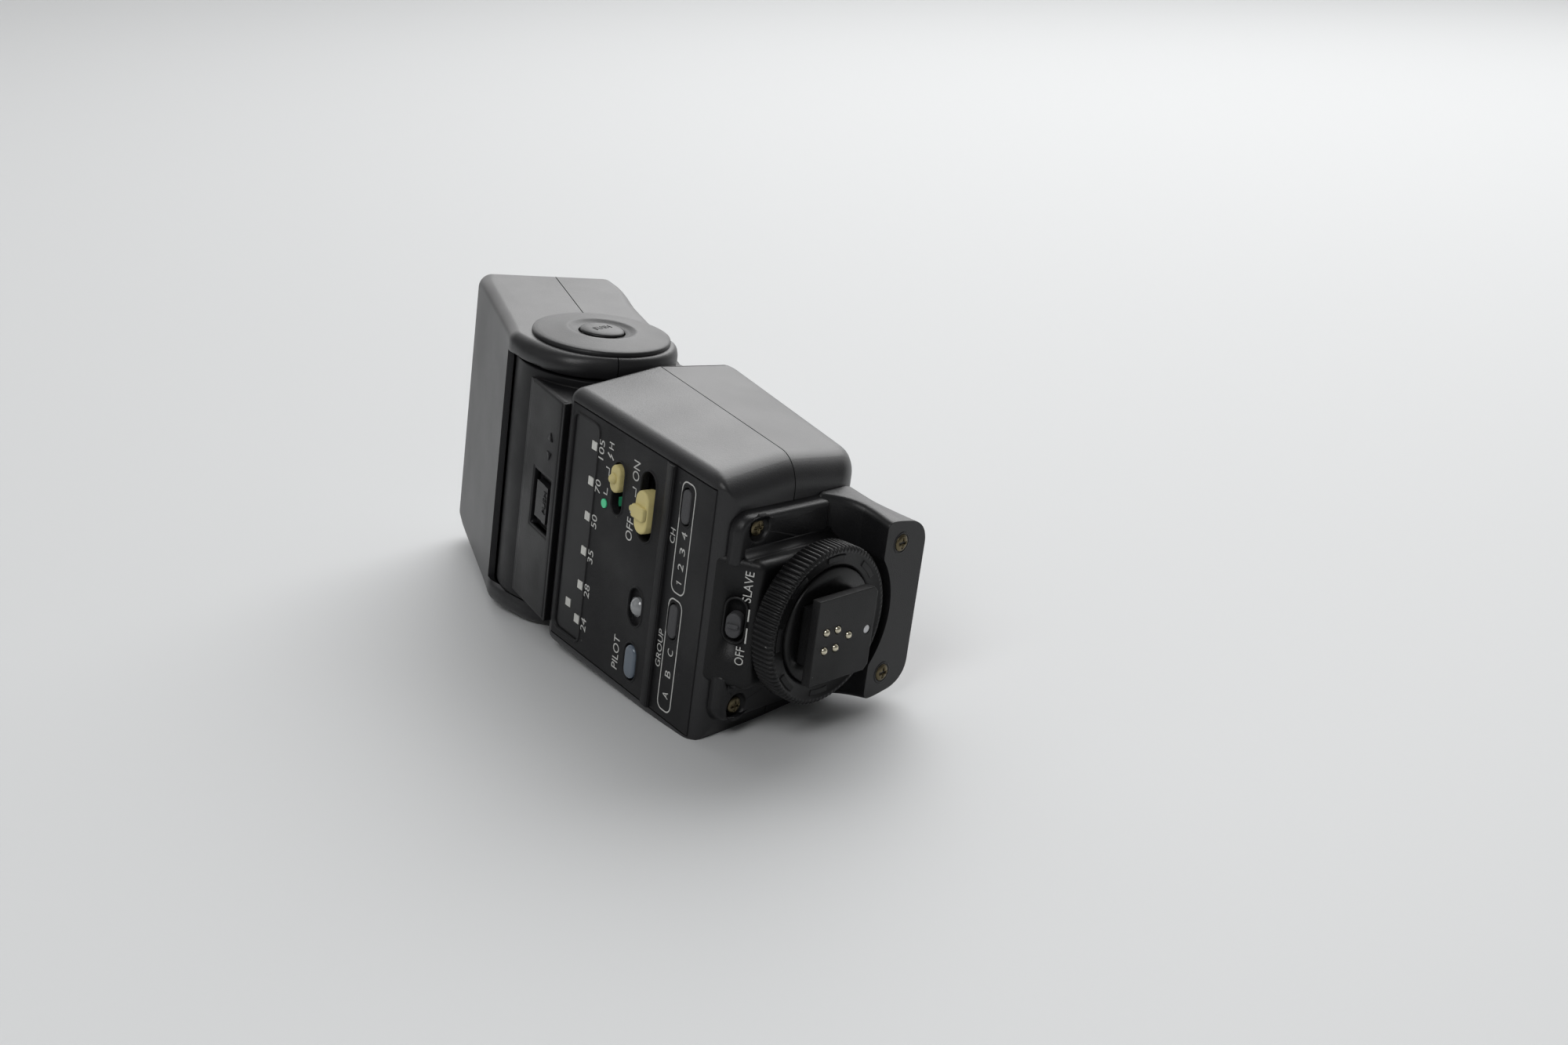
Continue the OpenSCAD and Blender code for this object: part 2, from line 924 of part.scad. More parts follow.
module head_form() {
    half = cheek_half;
    front_half = head_front_w / 2;
    intersection() {
        along_z([each round_corner(lobe_low, front_low, front_high, head_edge),
            each round_corner(front_low, front_high, cover_end, head_edge), cover_end,
            for (i = [0:lobe_steps])
                let(a = 125 + 145 * i / lobe_steps)
                    cheek_r * [cos(a), sin(a)]]);
        along_x(rounded([[-half, -cheek_r - 0.2], [half, -cheek_r - 0.2], [half, head_up], [-half, head_up]],
            side_edge));
        along_y(rounded([[-cheek_r - 0.2, -half], [head_reach, -front_half], [head_reach, front_half],
            [-cheek_r - 0.2, half]], head_edge));
    }
}

// Room for the drum and for the pillar as the head tilts from level to upright
throat = 26;
cover_edge = 5;
head_wall = 2;

module drum_room() {
    rod_z(recess_r, -recess_half, recess_half);
    box([-big, 0, -recess_half], [cover_edge, big, recess_half]);
    box([-big, -big, -recess_half], [throat, 0.01, recess_half]);
}

module head_hollow() {
    difference() {
        box([0, 1.4 + head_wall - head_down, head_wall - head_front_w / 2],
            [head_reach - head_wall, head_front_up - head_wall, head_front_w / 2 - head_wall]);
        rod_z(recess_r + head_wall, -big, big);
        box([-big, -big, -big], [throat + head_wall, 0.01, big]);
        box([-big, 0, -big], [cover_edge + head_wall, big, big]);
    }
}

bezel_back = head_reach - 6;

module head_shell() {
    difference() {
        head_form();
        head_hollow();
        drum_room();
        rod_z(shaft_r + run, -big, big);
        head_screw_places()
            rod_y(0.92, -3.02, 14.5);
        translate([bezel_back, bezel_low, 1.4 - head_front_w / 2])
            cube([big, bezel_h, head_front_w - 2.8]);
        disc_seat(1);
        mirror([0, 0, 1])
            disc_seat(1);
    }
}

// The round cover sits in the cheek over the end of the tilt shaft
module disc_seat(grow) {
    rod_z(disc_r - 3, cheek_half - 1.2, cheek_half + grow);
}

module head_top_shell() {
    color("#2f3032")
        on_head()
            intersection() {
                head_shell();
                box([-big, 0, -big], [big, big, big]);
            }
}

module head_bottom_shell() {
    color("#2f3032")
        on_head()
            intersection() {
                head_shell();
                box([-big, -big, -big], [big, 0, big]);
            }
}

module disc_form() {
    translate([0, 0, cheek_half])
        rotate_extrude()
            polygon([[0, -1.2], [disc_r - 3, -1.2], [disc_r - 3, 0], [disc_r, 0], [disc_r, 0.8],
                [disc_r - 0.5, 1.1], [disc_r * 0.75, disc_h - 0.35], [disc_r * 0.5, disc_h],
                [0, disc_h]]);
}

module right_disc() {
    color("#333436")
        on_head()
            difference() {
                disc_form();
                rod_z(tilt_button_r + 1.9, cheek_half + disc_h - 0.7, big);
                rod_z(tilt_button_r + gap, 0, big);
            }
}

module left_disc() {
    color("#333436")
        on_head()
            mirror([0, 0, 1]) {
                disc_form();
                rod_z(tilt_button_r, cheek_half + disc_h - 0.1, cheek_half + disc_h + 0.7);
            }
}

module tilt_button() {
    color("#2c2d2f")
        on_head()
            rod_z(tilt_button_r, cheek_half + gap, cheek_half + disc_h + 0.7);
}

bezel_low = 1.4 + 1.6 - head_down;
bezel_h = head_front_up - 1.6 - bezel_low;
bezel_mid = bezel_low + bezel_h / 2;
lens_w = head_front_w - 12;
lens_h = bezel_h - 7;

module front_bezel() {
    color("#232426")
        on_head()
            difference() {
                translate([bezel_back, bezel_low, 1.4 - head_front_w / 2])
                    box([0, 0.05, 0.05], [5, bezel_h - 0.05, head_front_w - 2.85]);
                translate([0, bezel_mid, 0])
                    box([0, -lens_h / 2, -lens_w / 2], [big, lens_h / 2, lens_w / 2]);
            }
}

module fresnel_lens() {
    color("#dfe6e4")
        on_head()
            translate([0, bezel_mid, 0])
                box([head_reach - 3.2, 0.05 - lens_h / 2, 0.05 - lens_w / 2],
                    [head_reach - 1, lens_h / 2 - 0.05, lens_w / 2 - 0.05]);
}

// The zoom carriage runs on two rods and a lead screw behind the lens
carriage_x = 34;
carriage_t = 2;
rod_places = [[13, 23], [13, -23]];
screw_at = [-9, 0];
screw_r = 1.5;
trough_x = 5;
trough_h = 17;
trough_w = 42;

module zoom_carriage() {
    color("#4a4c50")
        on_head()
            difference() {
                box([carriage_x, -12, -26], [carriage_x + carriage_t, 16, 26]);
                for (at = rod_places)
                    translate([0, at[0], at[1]])
                        rod_x(1 + run, 0, big);
                translate([0, screw_at[0], screw_at[1]])
                    rod_x(screw_r + run, 0, big);
            }
}

module reflector() {
    x0 = carriage_x + carriage_t;
    color("silver")
        on_head()
            difference() {
                translate([x0, 3 - trough_h / 2, -trough_w / 2])
                    cube([trough_x, trough_h, trough_w]);
                translate([x0 + trough_x, 3, 0])
                    rod_z(trough_x - 0.9, -trough_w / 2 + 0.8, trough_w / 2 - 0.8);
                translate([x0 + 1.6, 3, 0])
                    box([0, -2.1, -big], [big, 2.1, big]);
            }
}

module flash_tube() {
    color("#cfd6da")
        on_head()
            translate([carriage_x + carriage_t + 3.4, 3, 0]) {
                rod_z(1.8, 0.5 - trough_w / 2, trough_w / 2 - 0.5);
                rod_z(0.6, -trough_w / 2 - 2, trough_w / 2 + 2);
            }
}

// Where a rod at one height leaves the wall round the drum
function rod_start(p) = sqrt(pow(recess_r + head_wall, 2) - pow(p - 1, 2)) + 0.05;

module guide_rods() {
    color("silver")
        on_head()
            for (at = rod_places)
                translate([0, at[0], at[1]])
                    rod_x(1, rod_start(at[0]), bezel_back - 0.05);
}

motor_x = throat + head_wall + 0.05;

module zoom_motor() {
    color("#8c8f94")
        on_head()
            translate([0, screw_at[0], screw_at[1]])
                difference() {
                    rod_x(4.1, motor_x, carriage_x - 0.6);
                    rod_x(screw_r + run, motor_x + 1, big);
                }
}

module lead_screw() {
    color("silver")
        on_head()
            translate([0, screw_at[0], screw_at[1]])
                rod_x(screw_r, motor_x + 1.1, bezel_back - 0.4);
}

module head_screw_places() {
    for (side = [-1, 1])
        translate([10, -10, side * (recess_half + 2.6)])
            children();
}

module head_screws() {
    color("silver")
        on_head()
            head_screw_places()
                rod_y(0.9, -3, 14);
}

rear_shell();
front_shell();
control_panel();
display_window();
zoom_lamps();
sync_lamp();
ready_lamp();
power_switch();
sync_switch();
pilot_button();
channel_button();
group_button();
battery_door();
door_hinge_pin();
battery_tray();
battery_cells();
battery_contacts();
main_board();
main_capacitor();
assist_window();
assist_lamp();
foot_base();
foot_screws();
slave_switch();
shoe_plate();
lock_ring();
lock_pin();
contact_pins();
neck_rear();
neck_front();
swivel_hub();
hub_washer();
tilt_shaft();
swivel_button();
click_spring();
head_top_shell();
head_bottom_shell();
right_disc();
left_disc();
tilt_button();
front_bezel();
fresnel_lens();
zoom_carriage();
reflector();
flash_tube();
guide_rods();
lead_screw();
zoom_motor();
head_screws();
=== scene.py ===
import math
import bmesh
import bpy
import numpy as np
from mathutils import Matrix, Vector


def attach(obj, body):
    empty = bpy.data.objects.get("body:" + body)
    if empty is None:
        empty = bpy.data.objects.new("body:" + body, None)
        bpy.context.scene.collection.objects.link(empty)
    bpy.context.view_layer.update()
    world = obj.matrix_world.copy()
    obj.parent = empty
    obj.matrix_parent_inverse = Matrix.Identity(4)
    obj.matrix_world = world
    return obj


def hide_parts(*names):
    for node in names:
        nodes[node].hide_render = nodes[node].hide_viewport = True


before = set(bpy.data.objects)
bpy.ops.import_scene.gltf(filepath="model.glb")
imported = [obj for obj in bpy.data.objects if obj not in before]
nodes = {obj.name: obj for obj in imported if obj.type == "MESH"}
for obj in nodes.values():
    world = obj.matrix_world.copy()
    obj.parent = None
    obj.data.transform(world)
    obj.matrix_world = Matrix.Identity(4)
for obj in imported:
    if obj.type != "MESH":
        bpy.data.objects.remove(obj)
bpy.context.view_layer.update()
MM = 0.001

# Sizes in millimetres, the same as the CAD's: the body's deck and top, its back at the deck, its front at
# the top, the leans of its faces, and the seam between its shells at the top
DECK, TOP = 19.3, 80.0
BACK, REACH = 20.3, 45.4
PANEL_LEAN, FRONT_LEAN, SEAM_LEAN = map(math.radians, (12.4, 20.8, 16.7))
SEAM_X = 18.6
# Half the body's width at its back and front faces, and its growth for each millimetre from there
BACK_HALF, BACK_GROWTH = 30.0, 0.074
FRONT_HALF, FRONT_GROWTH = 28.8, 0.122
# The panel's opening, the door's edge and top, the door's gap, and the point that its hinge runs through
PANEL_LOW, PANEL_HIGH = 22.62, 78.1
DOOR_Z, DOOR_TOP, DOOR_GAP = 20.6, 77.35, 0.3
HINGE = (32.843, 50.041, DOOR_Z)
# The neck's axis, the tilt axis's height, the head's lean at rest, and the feet and leans of the neck's pad
# and the foot block
NECK_X, TILT_Y, TILT = 18.4, 97.9, math.radians(60)
NECK_FOOT, NECK_LEAN = (NECK_X - 26.1, 80.4, 0), math.atan(6.5 / 18.3)
BLOCK_FOOT, BLOCK_LEAN = (-14.4, 11.4, 0), math.atan(-5.0 / 10.9)
# The head: half its width, its reach from the tilt axis, its round lobe, its roof's corner, and the fork's
# inner half width and depth
CHEEK, HEAD_REACH, LOBE, ROOF = 33.0, 53.6, 17.2, (2, 20.5)
FORK_HALF, FORK_END = 28.0, 26.0
# The chin: its front, half width, corner radius, half of its window's opening, and lowest level
CHIN_FRONT, CHIN_HALF, CHIN_CORNER, ASSIST_HALF, CHIN_LOW = 27.4, 19.0, 5.5, 13.2, 4.7
# The screws' places from above, the slave switch's slot, the least radius of a pole or corner, and how high
# print stands
PAD_SCREW, CHIN_SCREW = (-12, 19.7), (19.4, 14.8)
SLAVE_AT, SLAVE_SLOT = (0.8, 5.2), (9.4, 4.2)
POLE = 0.01
PRINT = 0.03


def back_x(y):
    """The back face at a height: a straight line that leans forwards from the deck."""
    return -BACK + (y - DECK) * math.tan(PANEL_LEAN)


def front_x(y):
    """The front face at a height: a straight line that leans backwards below the top."""
    return REACH - (TOP - y) * math.tan(FRONT_LEAN)


def seam_x(y):
    """The seam between the shells at a height: a straight line that leans backwards below the top."""
    return SEAM_X - (TOP - y) * math.tan(SEAM_LEAN)


def half_at(x, y):
    """Half the body's width, which grows evenly from its back and from its front: the lesser of the two."""
    behind = (x - back_x(y)) * math.cos(PANEL_LEAN)
    ahead = (front_x(y) - x) * math.cos(FRONT_LEAN)
    return np.minimum(BACK_HALF + BACK_GROWTH * behind, FRONT_HALF + FRONT_GROWTH * ahead)


class Place:
    """A frame: its origin, and three directions along which a point lies by its u, v and w."""

    def __init__(self, origin, u, v, w):
        self.origin = np.array(origin, float)
        self.axes = np.array([u, v, w], float)

    def __call__(self, points):
        return self.origin + np.atleast_2d(np.asarray(points, float)) @ self.axes


def leaning(origin, lean):
    """A frame on a face that leans: u across it along +Z, v up along it, w straight out of it."""
    c, s = math.cos(lean), math.sin(lean)
    return Place(origin, (0, 0, 1), (s, c, 0), (-c, s, 0))


def downward(origin):
    """A frame that looks down: u forwards, v to the right and w down."""
    return Place(origin, (1, 0, 0), (0, 0, 1), (0, -1, 0))


def cheek_place(side):
    """A frame on the tilt axis: w straight out of the right cheek for 1, or out of the left one for -1."""
    return Place((NECK_X, TILT_Y, 0), (1, 0, 0), (0, side, 0), (0, 0, side))


# The frames of the panel, the neck's back, the foot block's back, the head, the foot and the door's hinge
panel = leaning((-BACK, DECK, 0), PANEL_LEAN)
neck = leaning(NECK_FOOT, NECK_LEAN)
block = leaning(BLOCK_FOOT, BLOCK_LEAN)
head = Place((NECK_X, TILT_Y, 0), (math.cos(TILT), math.sin(TILT), 0),
             (-math.sin(TILT), math.cos(TILT), 0), (0, 0, 1))
foot = Place((0, 0, 0), (1, 0, 0), (0, 0, 1), (0, 1, 0))
hinge = Place(HINGE, (math.cos(FRONT_LEAN), -math.sin(FRONT_LEAN), 0), (0, 0, 1),
              (math.sin(FRONT_LEAN), math.cos(FRONT_LEAN), 0))


# Materials

# The colour of dust, and the height of the moulded grain in metres
DUST = (0.45, 0.44, 0.42, 1)
GRAIN_DEPTH = 0.00012


def add_node(tree, kind, settings=None, values=None, links=None):
    """A shader node with its settings, the values of its inputs, and the outputs linked to its inputs."""
    made = tree.nodes.new("ShaderNode" + kind)
    for key, setting in (settings or {}).items():
        setattr(made, key, setting)
    for key, value in (values or {}).items():
        made.inputs[key].default_value = value
    for key, output in (links or {}).items():
        tree.links.new(output, made.inputs[key])
    return made


def plain_material(name, color, rough, metal=0.0, coat=0.0, specular=0.5):
    """An even surface. Gives the material and its shader."""
    made = bpy.data.materials.new(name)
    made.use_nodes = True
    shader = made.node_tree.nodes["Principled BSDF"]
    for key, value in (("Base Color", (*color, 1)), ("Roughness", rough), ("Metallic", metal),
                       ("Coat Weight", coat), ("Specular IOR Level", specular)):
        shader.inputs[key].default_value = value
    return made, shader


def dusty(tree, at, shade, specks):
    """Pale specks over a shade: the middles of small cells, kept where a soft noise is high."""
    cells = add_node(tree, "TexVoronoi", values={"Scale": 620}, links={"Vector": at})
    patch = add_node(tree, "TexNoise", values={"Scale": 190}, links={"Vector": at})
    dot = add_node(tree, "Math", {"operation": "LESS_THAN"}, {1: 0.16}, {0: cells.outputs["Distance"]})
    some = add_node(tree, "Math", {"operation": "GREATER_THAN"}, {1: 0.66}, {0: patch.outputs["Fac"]})
    both = add_node(tree, "Math", {"operation": "MULTIPLY"}, links={0: dot.outputs[0], 1: some.outputs[0]})
    amount = add_node(tree, "Math", {"operation": "MULTIPLY"}, {1: specks}, {0: both.outputs[0]})
    mix = add_node(tree, "Mix", {"data_type": "RGBA"}, {"B": DUST}, {"Factor": amount.outputs[0], "A": shade})
    return mix.outputs["Result"]


def material(name, color, rough, grain=0.0, scale=900.0, edge=0.0, uneven=0.25, specks=0.0, emission=0.0,
             **even):
    """A surface with a fine moulded grain, uneven gloss, soft wear and, where asked, rounded-off edges and
    dust."""
    made, shader = plain_material(name, color, rough, **even)
    tree = made.node_tree
    if emission:
        shader.inputs["Emission Color"].default_value = (*color, 1)
        shader.inputs["Emission Strength"].default_value = emission
    at = add_node(tree, "TexCoord").outputs["Object"]
    soft = add_node(tree, "TexNoise", values={"Scale": 60, "Detail": 5}, links={"Vector": at}).outputs["Fac"]
    gloss = add_node(tree, "MapRange", links={"Value": soft}, values={
        "From Min": 0.3, "From Max": 0.7,
        "To Min": max(0.02, rough * (1 - uneven)), "To Max": min(1, rough * (1 + uneven))})
    tree.links.new(gloss.outputs["Result"], shader.inputs["Roughness"])
    tone = add_node(tree, "ValToRGB", links={"Fac": soft})
    for stop, at_noise, share in zip(tone.color_ramp.elements, (0.3, 0.72), (0.86, 1.12)):
        stop.position = at_noise
        stop.color = (*[min(1, c * share) for c in color], 1)
    shade = tone.outputs["Color"]
    if specks:
        shade = dusty(tree, at, shade, specks)
    tree.links.new(shade, shader.inputs["Base Color"])
    fine = add_node(tree, "TexNoise", values={"Scale": scale * 4, "Detail": 3}, links={"Vector": at})
    bump = add_node(tree, "Bump", values={"Strength": grain, "Distance": GRAIN_DEPTH},
                    links={"Height": fine.outputs["Fac"]})
    if edge:
        bevel = add_node(tree, "Bevel", {"samples": 6}, {"Radius": edge * MM})
        tree.links.new(bevel.outputs["Normal"], bump.inputs["Normal"])
    tree.links.new(bump.outputs["Normal"], shader.inputs["Normal"])
    return made


SHELL_COLOR, SHELL_ROUGH = (0.016, 0.016, 0.0172), 0.38
shell = material("shell", SHELL_COLOR, SHELL_ROUGH, grain=0.35, uneven=0.08)
shell_cad = material("shell_cad", SHELL_COLOR, SHELL_ROUGH, grain=0.35, edge=0.7, uneven=0.08)
cover = material("cover", (0.011, 0.011, 0.012), 0.4, grain=0.35, specular=0.4, uneven=0.08)
foot_black = material("foot_black", (0.0075, 0.0075, 0.008), 0.44, grain=0.35, edge=0.4, specks=0.7,
                      specular=0.3)
ring_black = material("ring_black", (0.007, 0.007, 0.0075), 0.40, grain=0.3, specks=0.5, specular=0.35)
neck_black = material("neck_black", (0.010, 0.010, 0.011), 0.45, grain=0.35, edge=0.5, specular=0.25)
panel_black = material("panel_black", (0.0115, 0.0115, 0.0125), 0.52, grain=0.4, scale=1500, edge=0.25,
                       specks=0.1, specular=0.28)
window_black = material("window_black", (0.007, 0.007, 0.008), 0.34, grain=0.1, edge=0.2, specular=0.3)
cream = material("cream", (0.66, 0.57, 0.25), 0.48, grain=0.2, edge=0.35)
rubber = material("grey_rubber", (0.062, 0.062, 0.066), 0.62, grain=0.6, edge=0.4)
blue_grey = material("blue_grey", (0.12, 0.15, 0.19), 0.12, grain=0.05, edge=0.4, coat=0.6)
dome = material("dome", (0.32, 0.33, 0.34), 0.08, grain=0.02, coat=1.0)
lamp = material("lamp", (0.66, 0.66, 0.62), 0.35, grain=0.1)
green = material("green", (0.06, 0.55, 0.26), 0.3, grain=0.1, emission=0.15)
ink = material("ink", (0.60, 0.60, 0.58), 0.6, grain=0.15)
brass = material("screw_brass", (0.15, 0.125, 0.075), 0.36, grain=0.3, metal=1.0, edge=0.15)
nickel = material("nickel", (0.72, 0.67, 0.52), 0.22, grain=0.1, metal=1.0)
steel = material("steel", (0.55, 0.55, 0.56), 0.3, grain=0.2, metal=1.0, edge=0.2)
red = material("red", (0.10, 0.006, 0.010), 0.12, grain=0.02, coat=0.8, edge=0.5)
clear = material("clear", (0.56, 0.60, 0.61), 0.16, grain=0.05, coat=0.5, uneven=0.05)
board = material("board", (0.03, 0.13, 0.06), 0.4, grain=0.3)
sleeve = material("sleeve", (0.10, 0.11, 0.13), 0.35, grain=0.2)
inner = material("inner", (0.05, 0.05, 0.052), 0.5, grain=0.3, edge=0.3)
mirror = material("mirror", (0.85, 0.85, 0.85), 0.12, grain=0.05, metal=1.0)

# The finish of each CAD node, where it isn't steel
LOOKS = {
    "rear_shell": shell_cad, "front_shell": shell_cad, "battery_door": shell_cad, "neck_rear": neck_black,
    "neck_front": neck_black, "head_top_shell": shell_cad, "head_bottom_shell": shell_cad,
    "right_disc": cover, "left_disc": cover, "tilt_button": cover, "swivel_button": cover,
    "front_bezel": cover, "foot_base": foot_black, "shoe_plate": foot_black, "lock_ring": ring_black,
    "slave_switch": inner, "control_panel": panel_black, "display_window": window_black,
    "zoom_lamps": lamp, "ready_lamp": dome, "pilot_button": blue_grey, "sync_lamp": green,
    "power_switch": cream, "sync_switch": cream, "channel_button": rubber, "group_button": rubber,
    "assist_window": red, "assist_lamp": red, "contact_pins": nickel, "battery_contacts": nickel,
    "foot_screws": brass, "battery_tray": inner, "zoom_carriage": inner, "battery_cells": sleeve,
    "main_capacitor": sleeve, "main_board": board, "reflector": mirror, "fresnel_lens": clear,
    "flash_tube": clear,
}
for node_name, node_object in nodes.items():
    node_object.data.materials.clear()
    node_object.data.materials.append(LOOKS.get(node_name, steel))


# Meshes

# The least angles of an edge that splits a skin's shading, and of one that a bevel rounds
CREASE, BEVEL_FROM = math.radians(50), math.radians(32)


def piece(name, points, faces, finish, body, bevel=0.0, thick=0.0, stands_for=(), segments=3, soft=True):
    """A mesh from points in millimetres, shaded softly or flat, with its edges rounded by a bevel and its
    skin given a thickness."""
    mesh = bpy.data.meshes.new(name)
    mesh.from_pydata((points * MM).tolist(), [], faces)
    mesh.update()
    if not thick:
        loose = bmesh.new()
        loose.from_mesh(mesh)
        bmesh.ops.recalc_face_normals(loose, faces=loose.faces)
        loose.to_mesh(mesh)
        loose.free()
    mesh.polygons.foreach_set("use_smooth", [soft] * len(mesh.polygons))
    mesh.materials.append(finish)
    made = bpy.data.objects.new(name, mesh)
    bpy.context.collection.objects.link(made)
    if thick:
        skin = made.modifiers.new("skin", "SOLIDIFY")
        skin.thickness = thick * MM
        skin.offset = -1
        skin.use_even_offset = False
        made.modifiers.new("creases", "EDGE_SPLIT").split_angle = CREASE
    if bevel:
        edges = made.modifiers.new("edges", "BEVEL")
        edges.width = bevel * MM
        edges.segments = segments
        edges.limit_method = "ANGLE"
        edges.angle_limit = BEVEL_FROM
        edges.use_clamp_overlap = True
        made.modifiers.new("flats", "WEIGHTED_NORMAL").keep_sharp = False
    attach(made, body)
    if stands_for:
        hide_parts(*stands_for)
    return made


def points_of(mesh):
    """A mesh's points as one array, in the mesh's own unit."""
    flat = np.zeros(len(mesh.vertices) * 3)
    mesh.vertices.foreach_get("co", flat)
    return flat.reshape(-1, 3)


def at_height(outline, w):
    """A flat outline's points with one height added to each."""
    return np.c_[outline, np.full(len(outline), w)]


def grid(rows, columns, closed=False, keep=None):
    """Quads between rows of points, with the columns joined into a ring where closed. keep tells from the
    arrays of rows and columns which quads stay."""
    r, c = np.mgrid[:rows - 1, :columns if closed else columns - 1]
    here, beside = r * columns + c, r * columns + (c + 1) % columns
    quads = np.stack([here, beside, beside + columns, here + columns], axis=-1)
    return (quads.reshape(-1, 4) if keep is None else quads[keep(r, c)]).tolist()


def band(low, high):
    """Quads between two closed rings of points, given by their places in the mesh."""
    return np.c_[low, np.roll(low, -1), np.roll(high, -1), high].tolist()


def caps(n, rows):
    """The flat ends of rows of n points: the first row turned round, and the last row."""
    end = n * (rows - 1)
    return [list(range(n))[::-1], list(range(end, end + n))]


def prism(place, outline, w_from, w_to):
    """A flat outline drawn out from w_from to w_to: points and faces."""
    outline = np.asarray(outline, float)
    n = len(outline)
    points = np.vstack([place(at_height(outline, w)) for w in (w_from, w_to)])
    return points, caps(n, 2) + band(np.arange(n), np.arange(n) + n)


def lathe(place, profile, segments=96, teeth=None, loop=False):
    """A profile of radius and height turned about w: x = r cos t, y = r sin t, where teeth may take a depth
    from the radius round the turn. A loop is joined end to start, and any other profile is capped."""
    r, h = np.array(profile, float).T[:, :, None]
    turn = np.linspace(0, 2 * math.pi, segments, endpoint=False)
    r = r - (teeth(turn) if teeth else np.zeros(segments))
    points = np.stack([r * np.cos(turn), r * np.sin(turn), h + 0 * r], axis=-1).reshape(-1, 3)
    ring = np.arange(segments)
    ends = band(ring + len(points) - segments, ring) if loop else caps(segments, len(profile))
    return place(points), grid(len(profile), segments, closed=True) + ends


def arc(u, v, r, start, end, n=8):
    """Points on an arc in n equal steps, with angles in degrees: u + r cos a and v + r sin a."""
    a = np.radians(np.linspace(start, end, n + 1))
    return np.c_[u + r * np.cos(a), v + r * np.sin(a)]


def rounded(points, radii, n=6):
    """A convex outline with an arc of its own radius at each corner: the arc's middle lies r / sin(half the
    corner's angle) from the corner, along the line that halves it."""
    corners = [np.asarray(p, float) for p in points]
    arcs = []
    for i, b in enumerate(corners):
        r = radii[i] if np.ndim(radii) else radii
        u, v = corners[i - 1] - b, corners[(i + 1) % len(corners)] - b
        u, v = u / np.linalg.norm(u), v / np.linalg.norm(v)
        half = math.acos(np.clip(u @ v, -1, 1)) / 2
        mid = b + (u + v) / np.linalg.norm(u + v) * r / math.sin(half)
        p, q = b + u * r / math.tan(half) - mid, b + v * r / math.tan(half) - mid
        start = math.degrees(math.atan2(p[1], p[0]))
        sweep = (math.degrees(math.atan2(q[1], q[0])) - start + 540) % 360 - 180
        arcs.append(arc(*mid, r, start, start + sweep, n))
    return np.vstack(arcs)


def box_line(u_from, u_to, v_from, v_to, radii, n=6):
    """A rectangle's outline with rounded corners."""
    return rounded([(u_from, v_from), (u_to, v_from), (u_to, v_to), (u_from, v_to)], radii, n)


def corner(a, b, c, r, n=8):
    """The arc that rounds corner b of the path a-b-c: the middle one of a triangle's three."""
    return rounded([a, b, c], [POLE, r, POLE], n)[n + 1:2 * n + 2]


def stadium(u, v, length, width, n=10):
    """An outline with round ends, long along u: two half circles, each set off by half of what the length has
    over the width."""
    k = (length - width) / 2
    return np.vstack([arc(u + k, v, width / 2, -90, 90, n), arc(u - k, v, width / 2, 90, 270, n)])


def spread(a, b, n):
    """The points between a and b that part the line into n equal steps, without its ends."""
    return np.linspace(a, b, n + 1)[1:-1]


def smooth(t):
    """A soft step from 0 to 1: 3 t^2 - 2 t^3."""
    t = np.clip(t, 0, 1)
    return t * t * (3 - 2 * t)


def dense(outline, step=1.0):
    """The same closed outline with its points no further apart than a step: each side is parted evenly, into
    as many parts as its length has steps."""
    ahead = np.roll(outline, -1, 0) - outline
    parts = np.maximum(1, np.ceil(np.linalg.norm(ahead, axis=1) / step)).astype(int)
    side = np.repeat(np.arange(len(outline)), parts)
    part = np.arange(len(side)) - np.repeat(np.cumsum(parts) - parts, parts)
    return outline[side] + ahead[side] * (part / parts[side])[:, None]


def inset(outline, d):
    """A closed outline moved inwards by d along its own normals."""
    t = np.roll(outline, -1, 0) - np.roll(outline, 1, 0)
    t /= np.linalg.norm(t, axis=1)[:, None]
    return outline + d * np.c_[-t[:, 1], t[:, 0]]


def inset_rings(outline, steps):
    """Rings of one outline, each moved inwards by its own step, with their heights."""
    return [(inset(outline, d), h) for d, h in steps]


def toward(outline, centre, reach):
    """Points on the rays from a centre to an outline's points, each as far out as reach gives for its
    direction."""
    d = outline - np.asarray(centre, float)
    d /= np.linalg.norm(d, axis=1)[:, None]
    return centre + d * np.reshape(reach(d), (-1, 1))


def slot_reach(length, width):
    """How far a slot's edge lies from its middle: r / sine along its straight sides, and the round end past
    them."""
    r, k = width / 2, (length - width) / 2

    def reach(d):
        x, y = np.abs(d).T
        straight = r / np.maximum(y, 1e-9)
        round_end = k * x + np.sqrt(np.maximum(r * r - (k * y) ** 2, 0))
        return np.where(straight * x <= k, straight, round_end)
    return reach


def stacked(place, rings, first=True, last=True):
    """Closed rings of points at their heights, joined one to the next and capped at the ends asked for."""
    n = len(rings[0][0])
    points = np.vstack([place(at_height(ring, h)) for ring, h in rings])
    bottom, top = caps(n, len(rings))
    return points, grid(len(rings), n, closed=True) + [bottom] * first + [top] * last


# Body

# The radii of each wall's turn into the bottom and the top, those of the upright edges, the wall, half the
# gaps at the seam and the door, and how close two places count as one
BACK_TURN, SIDE_TURN, FRONT_TURN = (5.0, 1.6), (6.6, 2.6), (8.0, 4.4)
BACK_EDGE, FRONT_EDGE, LEAST_EDGE = 2.9, 6.0, 0.5
BODY_WALL, SEAM_HALF, DOOR_SEAM = 1.7, 0.13, 0.14
TOLERANCE = 0.01


def inset_at(y, low, high):
    """How far a wall draws in at a height, where it turns into the body's bottom or top on a round of radius
    r: r - sqrt(r^2 - (r - d)^2), d from that end."""
    for r, d in ((low, y - DECK), (high, TOP - y)):
        if d < r:
            return r - math.sqrt(max(0, r * r - (r - d) ** 2))
    return 0.0


